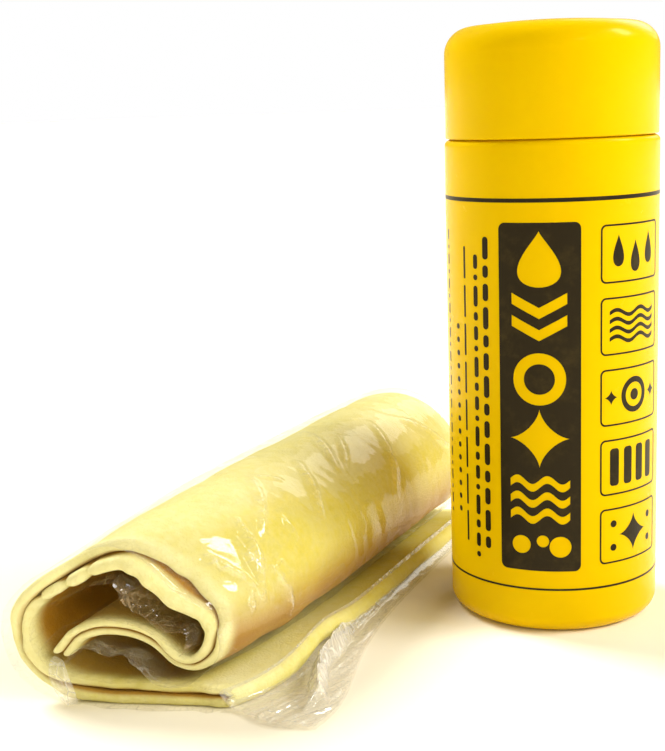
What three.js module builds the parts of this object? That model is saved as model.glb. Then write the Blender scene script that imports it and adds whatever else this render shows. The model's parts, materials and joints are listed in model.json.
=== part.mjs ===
// Synthetic chamois cloth with its storage tube: a plastic tube with a pull-off cap, and beside it the cloth,
// folded in four in its clear bag, rolled up and laid down. Millimetres, +Z up.
// The origin is the middle of the tube's foot on the surface, and -Y faces the viewer.
import * as THREE from 'three';

// Storage tube
const tubeDiameter = 60;
const tubeBodyHeight = 136.5;
const tubeWall = 1.4;
const tubeBaseRound = 4.5;
const shoulderRound = 1.6;
const neckHeight = 17;
const neckWall = 1.4;
const neckRootRound = 0.8;
const capClearance = 0.3;
const snapBeadHeight = 0.3;
const snapBeadWidth = 2.4;
const snapBeadDrop = 6;
const footGrooveRadius = 19;
const footGrooveWidth = 3;
const footGrooveDepth = 0.7;

// Cap
const capStep = 0.3;
const capHeight = 31.7;
const capWall = 1.3;
const capTopWall = 1.6;
const capCrownRound = 7.4;
const capDome = 1.2;
const capSeamGap = 0.3;
const capSkirtRound = 0.5;

// Cloth: one sheet folded in half each way, so two leaves of two layers lie on each other
const clothFoldedWidth = 160;
const clothLeafThickness = 2.6;
const clothLeafGap = 0.4;
const clothInnerLeafLead = 3;

// Bag
const bagFilm = 0.3;
const bagClearance = 0.3;
const bagFrontMargin = 2;
const bagRearMargin = 10;
const bagSealDepth = 0.4;
const bagSideMarginFront = 22;
const bagSideMarginRear = 2;
const bagMarginTaper = 30;
const bagSideSlope = 5;

// Roll: where the rolled packet lies and how large its two end sections are, measured on the packet's middle
const rollAngle = THREE.MathUtils.degToRad(16);
const rollStandOff = 44.2;
const rollFrontReach = 85;
const rollSpan = 57;
const rollRise = 42.6;
const rollTurnGap = 0.9;
const rollOpeningLengthNip = 9;
const rollOpeningLengthFar = 30;

// Sizes that follow
const capRadius = tubeDiameter / 2 - capStep;
const rollFlapX = -(tubeDiameter / 2 + rollStandOff);
const rollFrontY = -rollFrontReach;
const packetHalf = clothLeafThickness + clothLeafGap / 2;
const bagInner = packetHalf + bagClearance;
const bagOuter = bagInner + bagFilm;
const restHeight = bagOuter;
const innerRestHeight = restHeight + 2 * bagOuter + rollTurnGap;

// Middle of the packet in the front section, as shares: along the roll's span, away from the flap's fold,
// and up its rise. The outer turn starts on the surface at the flap, the inner turn where it lies on the flap.
const frontOuterTurnShares = [
  [0, 0], [0.207, 0], [0.453, 0], [0.646, 0.005], [0.812, 0.05], [0.935, 0.158], [1, 0.317], [0.996, 0.473],
  [0.923, 0.6], [0.812, 0.69], [0.69, 0.779], [0.575, 0.81], [0.47, 0.746], [0.393, 0.643], [0.312, 0.559],
  [0.225, 0.493], [0.179, 0.394], [0.19, 0.272],
];
const frontInnerTurnShares = [[0.268, 0], [0.372, 0.024], [0.463, 0.118], [0.567, 0.19], [0.681, 0.19], [0.77, 0.132]];

// The same middle line at the rear, where the roll is nearly round
const rearOuterTurnShares = [
  [0, 0], [0.207, 0], [0.4, 0.003], [0.558, 0.026], [0.695, 0.106], [0.796, 0.237], [0.849, 0.411], [0.846, 0.594],
  [0.786, 0.763], [0.684, 0.9], [0.554, 0.979], [0.418, 0.998], [0.288, 0.941], [0.179, 0.829], [0.1, 0.674],
  [0.06, 0.509], [0.063, 0.335], [0.126, 0.21],
];
const rearInnerTurnShares = [[0.235, 0], [0.347, 0.024], [0.446, 0.103], [0.516, 0.235], [0.544, 0.397], [0.516, 0.545]];

// Fineness of the mesh
const roundSegments = 64;
const cornerSteps = 4;
const stationsPerPoint = 2;
const foldSteps = 6;
const lipSteps = 4;
const rollStopShares = [0, 0.05, 0.2, 1];

const rollWay = new THREE.Vector3(Math.sin(rollAngle), Math.cos(rollAngle), 0);

// Points of a quarter round or any other arc of a turned profile
function arcPoints(centreRadius, centreHeight, radius, startAngle, endAngle, steps = cornerSteps) {
  const points = [];
  for (let step = 0; step <= steps; step += 1) {
    const angle = THREE.MathUtils.lerp(startAngle, endAngle, step / steps);
    points.push(new THREE.Vector2(centreRadius + radius * Math.cos(angle), centreHeight + radius * Math.sin(angle)));
  }
  return points;
}

// A solid turned about +Z from a profile of (radius, height) points that starts and ends on the axis
function turnedGeometry(profile) {
  const geometry = new THREE.LatheGeometry(profile, roundSegments);
  geometry.rotateX(Math.PI / 2);
  return geometry;
}

// A named mesh with its own material
function namedMesh(name, geometry, colour, roughness, opacity = 1) {
  geometry.computeVertexNormals();
  const material = new THREE.MeshStandardMaterial({ color: colour, roughness, metalness: 0 });
  material.transparent = opacity < 1;
  material.opacity = opacity;
  const mesh = new THREE.Mesh(geometry, material);
  mesh.name = name;
  return mesh;
}

// Tube: flat foot with a stiffening groove, rounded base, straight wall, rounded shoulder and a plain neck
// with a low bead that the cap rides over
function storageTube() {
  const outer = tubeDiameter / 2;
  const inner = outer - tubeWall;
  const neckOuter = capRadius - capWall - capClearance - snapBeadHeight;
  const neckInner = neckOuter - neckWall;
  const neckTop = tubeBodyHeight + neckHeight;
  const beadHeight = neckTop - snapBeadDrop;
  const innerBaseRound = tubeBaseRound - tubeWall / 2;
  const shoulderUnder = tubeBodyHeight - tubeWall;
  const innerShoulderRound = shoulderRound / 2;
  const profile = [
    new THREE.Vector2(0, 0),
    new THREE.Vector2(footGrooveRadius, 0),
    new THREE.Vector2(footGrooveRadius + footGrooveDepth, footGrooveDepth),
    new THREE.Vector2(footGrooveRadius + footGrooveWidth - footGrooveDepth, footGrooveDepth),
    new THREE.Vector2(footGrooveRadius + footGrooveWidth, 0),
    ...arcPoints(outer - tubeBaseRound, tubeBaseRound, tubeBaseRound, -Math.PI / 2, 0),
    ...arcPoints(outer - shoulderRound, tubeBodyHeight - shoulderRound, shoulderRound, 0, Math.PI / 2),
    ...arcPoints(neckOuter + neckRootRound, tubeBodyHeight + neckRootRound, neckRootRound, -Math.PI / 2, -Math.PI, 2),
    new THREE.Vector2(neckOuter, beadHeight - snapBeadWidth / 2),
    new THREE.Vector2(neckOuter + snapBeadHeight, beadHeight),
    new THREE.Vector2(neckOuter, beadHeight + snapBeadWidth / 2),
    new THREE.Vector2(neckOuter, neckTop),
    new THREE.Vector2(neckInner, neckTop),
    new THREE.Vector2(neckInner, shoulderUnder),
    new THREE.Vector2(inner - innerShoulderRound, shoulderUnder),
    new THREE.Vector2(inner, shoulderUnder - innerShoulderRound),
    ...arcPoints(inner - innerBaseRound, tubeWall + innerBaseRound, innerBaseRound, 0, -Math.PI / 2),
    new THREE.Vector2(0, tubeWall),
  ];
  return namedMesh('storage_tube', turnedGeometry(profile), 0xf7c600, 0.3);
}

// Cap: a deep cup with a large crown round and a shallow dome, which seats just above the tube's shoulder
function cap() {
  const outer = capRadius;
  const inner = outer - capWall;
  const skirtBottom = tubeBodyHeight + capSeamGap;
  const roundTop = skirtBottom + capHeight - capDome;
  const ceiling = roundTop + capDome - capTopWall;
  const innerRound = capCrownRound - capWall;
  const innerRoundTop = roundTop - capTopWall;
  const profile = [
    new THREE.Vector2(0, ceiling),
    ...arcPoints(inner - innerRound, innerRoundTop - innerRound, innerRound, Math.PI / 2, 0),
    new THREE.Vector2(inner, skirtBottom),
    ...arcPoints(outer - capSkirtRound, skirtBottom + capSkirtRound, capSkirtRound, -Math.PI / 2, 0, 2),
    ...arcPoints(outer - capCrownRound, roundTop - capCrownRound, capCrownRound, 0, Math.PI / 2, 2 * cornerSteps),
    new THREE.Vector2((outer - capCrownRound) / 2, roundTop + capDome * 3 / 4),
    new THREE.Vector2(0, roundTop + capDome),
  ];
  return namedMesh('cap', turnedGeometry(profile), 0xf7c600, 0.28);
}

// Control points of one end section, in the plane that faces the viewer, from the shares of its two turns
function sectionPoints(outerTurnShares, innerTurnShares) {
  const place = (baseHeight) => ([across, up]) => new THREE.Vector2(
    rollFlapX - across * rollSpan,
    baseHeight + up * (restHeight + rollRise - baseHeight),
  );
  return [...outerTurnShares.map(place(restHeight)), ...innerTurnShares.map(place(innerRestHeight))];
}

const frontPoints = sectionPoints(frontOuterTurnShares, frontInnerTurnShares);
const rearPoints = sectionPoints(rearOuterTurnShares, rearInnerTurnShares);

// Middle line of the packet at a distance along the roll. The pinched front opens into the round body,
// quickly on the side of the flap and slowly on the far side, as 1 - exp(-distance / length).
function middleLine(distance) {
  const points = frontPoints.map((front, index) => {
    const nipShare = THREE.MathUtils.clamp(1 - (rollFlapX - front.x) / rollSpan, 0, 1);
    const length = THREE.MathUtils.lerp(rollOpeningLengthFar, rollOpeningLengthNip, nipShare);
    const point = front.clone().lerp(rearPoints[index], 1 - Math.exp(-distance / length));
    return new THREE.Vector3(point.x, point.y, 0);
  });
  return new THREE.CatmullRomCurve3(points, false, 'centripetal');
}

// Stations along a middle line, a few for each control point, so that tight bends have more: where each lies
// in the section and which way its upper side faces
function stationsOf(curve) {
  const count = (curve.points.length - 1) * stationsPerPoint;
  const stations = [];
  for (let index = 0; index <= count; index += 1) {
    const place = curve.getPoint(index / count);
    const tangent = curve.getTangent(index / count);
    stations.push({ x: place.x, z: place.y, normalX: tangent.y, normalZ: -tangent.x });
  }
  return stations;
}

// The roll's sections at its stops. Between two stops its surface is straight.
const rollStops = rollStopShares.map((share) => share * clothFoldedWidth);
const stopSections = rollStops.map((distance) => stationsOf(middleLine(distance)));

// Stations of the section at any distance along the roll
function sectionAt(distance) {
  const place = THREE.MathUtils.clamp(distance, 0, clothFoldedWidth);
  const next = Math.max(rollStops.findIndex((stop) => stop >= place), 1);
  const share = (place - rollStops[next - 1]) / (rollStops[next] - rollStops[next - 1]);
  return stopSections[next - 1].map((from, index) => {
    const to = stopSections[next][index];
    return {
      x: THREE.MathUtils.lerp(from.x, to.x, share),
      z: THREE.MathUtils.lerp(from.z, to.z, share),
      normalX: THREE.MathUtils.lerp(from.normalX, to.normalX, share),
      normalZ: THREE.MathUtils.lerp(from.normalZ, to.normalZ, share),
    };
  });
}

// A point of the section carried along the roll into the part's frame
function carried(x, z, distance) {
  return new THREE.Vector3(x, rollFrontY, z).addScaledVector(rollWay, distance);
}

// Builds one closed surface from points and four-sided faces, whose corners run anticlockwise seen from outside
class SkinBuilder {
  constructor() {
    this.positions = [];
    this.faces = [];
  }

  point(vector) {
    this.positions.push(vector.x, vector.y, vector.z);
    return this.positions.length / 3 - 1;
  }

  quad(a, b, c, d) {
    this.faces.push(a, b, c, a, c, d);
  }

  geometry() {
    const geometry = new THREE.BufferGeometry();
    geometry.setAttribute('position', new THREE.Float32BufferAttribute(this.positions, 3));
    geometry.setIndex(this.faces);
    return geometry;
  }
}

// Outline of one leaf across its thickness at a station, from the rear edge forward under the leaf, round the
// folded lip at the front and back over it: pairs of (distance along the roll, height off the leaf's middle)
function leafOutline(frontEdge) {
  const half = clothLeafThickness / 2;
  const lipRoot = frontEdge + half;
  const run = [...rollStops.slice(1).reverse(), lipRoot];
  const lip = [];
  for (let step = 1; step < lipSteps; step += 1) {
    const angle = Math.PI * step / lipSteps;
    lip.push([lipRoot - half * Math.sin(angle), -half * Math.cos(angle)]);
  }
  return [...run.map((stop) => [stop, -half]), ...lip, ...run.reverse().map((stop) => [stop, half])];
}

// Cloth: the leaf's middle runs from the inner end of the outer leaf out to the flap, turns back round the
// fold there, and runs to the inner end of the inner leaf. A lipped outline is carried along it.
function chamoisCloth() {
  const leafOffset = (clothLeafThickness + clothLeafGap) / 2;
  const sections = new Map();
  const stationAt = (index, distance) => {
    if (!sections.has(distance)) {
      sections.set(distance, sectionAt(distance));
    }
    return sections.get(distance)[index];
  };

  // A station's place on the leaf's middle and its normal, at a distance along the roll
  const leafFrame = (stop, distance) => {
    const station = stationAt(stop.index, distance);
    const cos = Math.cos(stop.turn);
    const sin = Math.sin(stop.turn);
    const tangentX = -station.normalZ;
    const tangentZ = station.normalX;
    const faceX = cos * station.normalX - sin * tangentX;
    const faceZ = cos * station.normalZ - sin * tangentZ;
    return { x: station.x + leafOffset * faceX, z: station.z + leafOffset * faceZ, faceX, faceZ };
  };

  const leafStations = stopSections[0].length - 1;
  const route = [];
  for (let index = leafStations; index > 0; index -= 1) {
    route.push({ index, turn: Math.PI, lead: 1 });
  }
  for (let step = 0; step <= foldSteps; step += 1) {
    const turned = step / foldSteps;
    route.push({ index: 0, turn: Math.PI * (1 - turned), lead: 1 - turned });
  }
  for (let index = 1; index <= leafStations; index += 1) {
    route.push({ index, turn: 0, lead: 0 });
  }

  const skin = new SkinBuilder();
  const rings = route.map((stop) => leafOutline(stop.lead * clothInnerLeafLead).map(([distance, off]) => {
    const frame = leafFrame(stop, distance);
    return skin.point(carried(frame.x + off * frame.faceX, frame.z + off * frame.faceZ, distance));
  }));
  const ringSize = rings[0].length;
  for (let index = 0; index + 1 < rings.length; index += 1) {
    for (let side = 0; side < ringSize; side += 1) {
      const next = (side + 1) % ringSize;
      skin.quad(rings[index][side], rings[index][next], rings[index + 1][next], rings[index + 1][side]);
    }
  }
  closeRing(skin, rings[0], true);
  closeRing(skin, rings[rings.length - 1], false);
  return namedMesh('chamois_cloth', skin.geometry(), 0xf0e2a0, 0.85);
}

// Closes a ring whose points pair up from both ends, strip by strip
function closeRing(skin, ring, facesBack) {
  for (let low = 0, high = ring.length - 1; low + 1 < high; low += 1, high -= 1) {
    const corners = low + 1 === high - 1
      ? [ring[low], ring[low + 1], ring[high]]
      : [ring[low], ring[low + 1], ring[high - 1], ring[high]];
    if (facesBack) {
      corners.reverse();
    }
    if (corners.length === 3) {
      skin.faces.push(...corners);
    } else {
      skin.quad(...corners);
    }
  }
}

// Pairs of points under and over the bag at a distance along the roll: out to the tip of its side margin where
// asked, then along the packet and a little past its inner end
function bagPairs(distance, half, reach, margin) {
  const edge = rollFlapX + packetHalf + reach;
  const flatPair = (x, height) => [carried(x, restHeight - half, distance), carried(x, height, distance)];
  const pairs = [];
  if (margin > 0) {
    pairs.push(flatPair(edge + margin, 2 * bagFilm), flatPair(edge + bagSideSlope, 2 * bagFilm));
  }
  pairs.push(flatPair(edge, restHeight + half));
  const stations = sectionAt(distance);
  const last = stations[stations.length - 1];
  const end = { ...last, x: last.x - last.normalZ * reach, z: last.z + last.normalX * reach };
  [...stations, end].forEach((station) => {
    const offsetX = station.normalX * half;
    const offsetZ = station.normalZ * half;
    pairs.push([
      carried(station.x - offsetX, station.z - offsetZ, distance),
      carried(station.x + offsetX, station.z + offsetZ, distance),
    ]);
  });
  return pairs;
}

// One wall of the bag: closed loops of pairs at several distances, joined along the roll and closed at the rear
function bagWall(skin, loops, facesOut) {
  const rings = loops.map((pairs) => {
    const under = pairs.map(([low]) => skin.point(low));
    const over = pairs.map(([, high]) => skin.point(high));
    return [...under, ...over.reverse()];
  });
  const size = rings[0].length;
  for (let index = 0; index + 1 < rings.length; index += 1) {
    for (let side = 0; side < size; side += 1) {
      const next = (side + 1) % size;
      const corners = [rings[index][side], rings[index][next], rings[index + 1][next], rings[index + 1][side]];
      skin.quad(...(facesOut ? corners : corners.reverse()));
    }
  }
  closeRing(skin, rings[rings.length - 1], !facesOut);
  return rings[0];
}

// Bag: a flat sleeve of film round the whole packet, rolled with it, open at the front and sealed at the rear.
// Its side seam lies on the surface beyond the flap.
function clearBag() {
  const skin = new SkinBuilder();
  const rear = clothFoldedWidth + bagRearMargin;
  const loopsTo = (end, half, reach, hasMargin) => [-bagFrontMargin, ...rollStops, end].map((distance) => {
    const taper = Math.exp(-Math.max(distance, 0) / bagMarginTaper);
    const sideMargin = THREE.MathUtils.lerp(bagSideMarginRear, bagSideMarginFront, taper);
    return bagPairs(distance, half, reach, hasMargin ? bagSideSlope + sideMargin : 0);
  });
  const outer = bagWall(skin, loopsTo(rear, bagOuter, bagClearance + bagFilm, true), true);
  const inner = bagWall(skin, loopsTo(rear - bagSealDepth, bagInner, bagClearance, false), false);

  // The open mouth: the film's edge round the sleeve, and the front edge of the side margin
  const marginPairs = 2;
  const outerSleeve = outer.slice(marginPairs, outer.length - marginPairs);
  for (let side = 0; side < inner.length; side += 1) {
    const next = (side + 1) % inner.length;
    skin.quad(outerSleeve[side], inner[side], inner[next], outerSleeve[next]);
  }
  for (let low = 0; low < marginPairs; low += 1) {
    const high = outer.length - 1 - low;
    skin.quad(outer[low], outer[high], outer[high - 1], outer[low + 1]);
  }
  return namedMesh('clear_bag', skin.geometry(), 0xf4f1e6, 0.12, 0.25);
}

const part = new THREE.Group();
part.add(storageTube(), cap(), chamoisCloth(), clearBag());
export default part;
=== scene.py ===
"""Looks of a rolled synthetic chamois cloth in its clear bag, beside its storage tube with a pull-off cap.

Lengths are in metres, +Z is up, and the middle of the tube's foot is the origin. The roll of cloth lies to
the left of the tube and points at the viewer.
"""

import json
import logging
import math
from dataclasses import dataclass, field
from enum import Enum
from typing import Any, Iterable

import bmesh
import bpy
import numpy as np
from mathutils import Matrix, Vector
from mathutils.geometry import tessellate_polygon

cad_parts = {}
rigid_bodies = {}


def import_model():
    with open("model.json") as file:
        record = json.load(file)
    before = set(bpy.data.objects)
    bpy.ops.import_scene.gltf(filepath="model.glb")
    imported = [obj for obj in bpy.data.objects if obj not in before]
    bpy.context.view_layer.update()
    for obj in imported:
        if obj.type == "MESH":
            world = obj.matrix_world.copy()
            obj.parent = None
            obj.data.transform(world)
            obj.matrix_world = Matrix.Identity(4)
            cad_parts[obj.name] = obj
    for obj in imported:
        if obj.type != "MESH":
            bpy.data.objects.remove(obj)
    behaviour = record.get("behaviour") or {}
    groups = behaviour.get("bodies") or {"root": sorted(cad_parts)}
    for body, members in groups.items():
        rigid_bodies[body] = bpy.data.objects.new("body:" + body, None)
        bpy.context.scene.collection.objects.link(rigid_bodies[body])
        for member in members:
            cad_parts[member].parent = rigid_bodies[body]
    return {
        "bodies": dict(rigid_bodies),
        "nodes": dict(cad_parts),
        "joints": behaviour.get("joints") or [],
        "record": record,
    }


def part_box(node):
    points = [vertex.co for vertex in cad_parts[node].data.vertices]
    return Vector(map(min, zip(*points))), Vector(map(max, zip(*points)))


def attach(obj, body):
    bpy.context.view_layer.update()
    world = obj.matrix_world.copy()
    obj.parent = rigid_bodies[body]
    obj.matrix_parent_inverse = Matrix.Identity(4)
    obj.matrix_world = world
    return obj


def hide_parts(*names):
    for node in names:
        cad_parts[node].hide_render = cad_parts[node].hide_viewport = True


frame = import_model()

Array = np.ndarray
LOG = logging.getLogger("chamois_set")


class Body(Enum):
    """The bodies of the frame that pieces ride on."""

    TUBE = "tube"
    CAP = "cap"
    BUNDLE = "bundle"


# Node maths


class Term:
    """A number in a material, which adds Math nodes as it is used in an expression."""

    def __init__(self, tree: "FinishTree", socket: bpy.types.NodeSocket) -> None:
        """Keeps the tree that the term belongs to and the socket that gives its value."""
        self.tree = tree
        self.socket = socket

    def maths(self, operation: str, *values: Any) -> "Term":
        """Adds one Math node.

        Args:
            operation: The Math node's operation.
            values: The node's inputs, as terms or numbers.

        Returns:
            The node's result.
        """
        inputs = {index: value for index, value in enumerate(values)}
        node = self.tree.add("ShaderNodeMath", {"operation": operation}, inputs)
        return Term(self.tree, node.outputs[0])

    def __add__(self, other: Any) -> "Term":
        """Gives self + other."""
        return self.maths("ADD", self, other)

    def __radd__(self, other: Any) -> "Term":
        """Gives other + self."""
        return self.maths("ADD", other, self)

    def __sub__(self, other: Any) -> "Term":
        """Gives self - other."""
        return self.maths("SUBTRACT", self, other)

    def __rsub__(self, other: Any) -> "Term":
        """Gives other - self."""
        return self.maths("SUBTRACT", other, self)

    def __mul__(self, other: Any) -> "Term":
        """Gives self * other."""
        return self.maths("MULTIPLY", self, other)

    def __rmul__(self, other: Any) -> "Term":
        """Gives other * self."""
        return self.maths("MULTIPLY", other, self)

    def __pow__(self, other: Any) -> "Term":
        """Gives self to the power of other."""
        return self.maths("POWER", self, other)

    def within(self, low: float, high: float) -> "Term":
        """Gives 0 up to low, 1 from high on, and a smooth step between them.

        Args:
            low: Where the step starts.
            high: Where it ends.

        Returns:
            The step.
        """
        settings = {"interpolation_type": "SMOOTHSTEP"}
        inputs = {"Value": self, "From Min": low, "From Max": high}
        node = self.tree.add("ShaderNodeMapRange", settings, inputs)
        return Term(self.tree, node.outputs[0])


class FinishTree:
    """One material's node tree."""

    def __init__(self, name: str) -> None:
        """Makes an empty material of that name.

        Args:
            name: The material's name.
        """
        self.material = bpy.data.materials.new(name)
        self.material.use_nodes = True
        self.tree = self.material.node_tree
        self.tree.nodes.clear()
        self.output = self.add("ShaderNodeOutputMaterial")

    def add(self, kind: str, settings: dict | None = None, inputs: dict | None = None) -> bpy.types.Node:
        """Adds a node.

        Args:
            kind: The node's type.
            settings: Its properties, which are set first.
            inputs: Values, terms or sockets for its inputs, by name or number.

        Returns:
            The node.
        """
        node = self.tree.nodes.new(kind)
        for key, value in (settings or {}).items():
            setattr(node, key, value)
        for key, value in (inputs or {}).items():
            source = value.socket if isinstance(value, Term) else value
            if isinstance(source, bpy.types.NodeSocket):
                self.tree.links.new(source, node.inputs[key])
            else:
                node.inputs[key].default_value = source
        return node

    def term(self, node: bpy.types.Node, output: str | int = 0) -> Term:
        """Gives a node's output as a term."""
        return Term(self, node.outputs[output])

    def place(self, source: str = "Object") -> bpy.types.NodeSocket:
        """Gives the surface's own coordinates, from the object or its UV map."""
        return self.add("ShaderNodeTexCoord").outputs[source]

    def noise(self, place: Any, per_metre: float, detail: float = 3.0, roughness: float = 0.5) -> Term:
        """Gives a noise from 0 to 1.

        Args:
            place: The coordinates.
            per_metre: Its repeats in a metre.
            detail: Its octaves.
            roughness: How strong the finer octaves are.

        Returns:
            The noise.
        """
        inputs = {"Vector": place, "Scale": per_metre, "Detail": detail, "Roughness": roughness}
        return self.term(self.add("ShaderNodeTexNoise", None, inputs), "Fac")

    def attribute(self, name: str) -> Term:
        """Gives a number that the mesh holds at each point."""
        return self.term(self.add("ShaderNodeAttribute", {"attribute_name": name}), "Fac")

    def blend_colours(self, share: Any, first: Any, second: Any) -> bpy.types.NodeSocket:
        """Gives the first colour where share is 0 and the second where it is 1.

        Args:
            share: The share of the second colour.
            first: A colour of three parts, or a socket.
            second: The other colour.

        Returns:
            The blended colour.
        """
        colours = [(*colour, 1.0) if isinstance(colour, tuple) else colour for colour in (first, second)]
        inputs = {0: share, 6: colours[0], 7: colours[1]}
        return self.add("ShaderNodeMix", {"data_type": "RGBA"}, inputs).outputs[2]

    def bump(self, height: Any, distance: float) -> bpy.types.NodeSocket:
        """Gives the normal of a surface raised by height times distance."""
        inputs = {"Height": height, "Distance": distance, "Strength": 1.0}
        return self.add("ShaderNodeBump", None, inputs).outputs[0]

    def finish(self, surface: bpy.types.NodeSocket) -> bpy.types.Material:
        """Joins the surface to the output and gives the material."""
        self.tree.links.new(surface, self.output.inputs["Surface"])
        return self.material

    def principled(self, inputs: dict) -> bpy.types.Material:
        """Adds the main shader with these inputs and gives the finished material."""
        return self.finish(self.add("ShaderNodeBsdfPrincipled", None, inputs).outputs[0])


# Finishes


@dataclass(frozen=True)
class MouldedPlastic:
    """Glossy yellow polyethylene, with the faint unevenness of a moulded wall."""

    name: str
    colour: tuple = (0.77, 0.51, 0.0)
    deep_colour: tuple = (0.75, 0.47, 0.0)
    gloss_roughness: float = 0.22
    scuff_roughness: float = 0.1
    orange_peel_per_metre: float = 420.0
    patches_per_metre: float = 28.0
    scuffs_per_metre: float = 140.0
    peel_depth: float = 0.00003
    patch_share: float = 6.0

    def make(self) -> bpy.types.Material:
        """Gives the material.

        Returns:
            The material.
        """
        tree = FinishTree(self.name)
        place = tree.place()
        patches = tree.noise(place, self.patches_per_metre)
        peel = tree.noise(place, self.orange_peel_per_metre, 2.0)
        scuffs = tree.noise(place, self.scuffs_per_metre, 5.0, 0.7)
        inputs = {
            "Base Color": tree.blend_colours(patches, self.colour, self.deep_colour),
            "Roughness": self.gloss_roughness + self.scuff_roughness * scuffs.within(0.5, 0.8),
            "Normal": tree.bump(peel + self.patch_share * patches, self.peel_depth),
            "IOR": 1.25,
            "Specular IOR Level": 0.5,
            "Specular Tint": (1.0, 0.82, 0.08, 1.0),
            "Subsurface Weight": 0.1,
            "Subsurface Radius": (0.004, 0.002, 0.0002),
            "Subsurface Scale": 1.0,
        }
        return tree.principled(inputs)


@dataclass(frozen=True)
class PrintedInk:
    """Black ink printed on the plastic, thin and a little less glossy than the wall."""

    name: str = "black_print"
    colour: tuple = (0.012, 0.009, 0.006)
    faded_colour: tuple = (0.035, 0.026, 0.01)
    faded_patches_per_metre: float = 160.0
    grain_per_metre: float = 1900.0
    grain_depth: float = 0.00002

    def make(self) -> bpy.types.Material:
        """Gives the material.

        Returns:
            The material.
        """
        tree = FinishTree(self.name)
        place = tree.place()
        fade = tree.noise(place, self.faded_patches_per_metre, 5.0, 0.65).within(0.45, 0.8)
        grain = tree.noise(place, self.grain_per_metre, 2.0)
        inputs = {
            "Base Color": tree.blend_colours(fade, self.colour, self.faded_colour),
            "Roughness": 0.3 + 0.15 * fade,
            "Normal": tree.bump(grain, self.grain_depth),
            "Specular IOR Level": 0.2,
            "Specular Tint": (1.0, 0.8, 0.45, 1.0),
        }
        return tree.principled(inputs)


@dataclass(frozen=True)
class Chamois:
    """Soft, matt, finely porous synthetic chamois, paler where worn by rubbing and where light is painted on,
    darker where shade is painted.
    """

    name: str = "chamois"
    colour: tuple = (0.62, 0.55, 0.15)
    deep_colour: tuple = (0.60, 0.51, 0.05)
    rubbed_and_painted_light_colour: tuple = (0.86, 0.82, 0.48)
    painted_shade_colour: tuple = (0.36, 0.165, 0.003)
    pores_per_metre: float = 1500.0
    nap_per_metre: float = 420.0
    cloud_per_metre: float = 45.0
    nap_height: float = 0.00011

    def make(self) -> bpy.types.Material:
        """Gives the material.

        Returns:
            The material.
        """
        tree = FinishTree(self.name)
        place = tree.place()
        clouds = tree.noise(place, self.cloud_per_metre, 4.0, 0.6)
        nap = tree.noise(place, self.nap_per_metre, 4.0, 0.6)
        pores = tree.noise(place, self.pores_per_metre, 2.0)
        depth = (0.55 * clouds + 0.45 * nap).within(0.35, 0.68)
        colour = tree.blend_colours(depth, self.colour, self.deep_colour)
        # Painted light: this share lightens the cloth where light falls, as well as where it is worn by
        # rubbing.
        rubbed_and_painted_light_share = tree.attribute("rubbed") * (1.0 - 0.5 * nap)
        colour = tree.blend_colours(rubbed_and_painted_light_share, colour, self.rubbed_and_painted_light_colour)
        inputs = {
            # Painted shade: this share darkens the roll's inside and the crevices between the leaves.
            "Base Color": tree.blend_colours(tree.attribute("hollow"), colour, self.painted_shade_colour),
            "Roughness": 0.72 + 0.2 * nap,
            "Normal": tree.bump(1.4 * nap + 0.6 * pores.within(0.3, 0.6), self.nap_height),
            "Specular IOR Level": 0.15,
            "Subsurface Weight": 0.12,
            "Subsurface Radius": (0.002, 0.0018, 0.001),
            "Subsurface Scale": 1.0,
            "Sheen Weight": 0.12,
            "Sheen Roughness": 0.5,
            "Sheen Tint": (1.0, 0.9, 0.45, 1.0),
        }
        return tree.principled(inputs)


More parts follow.
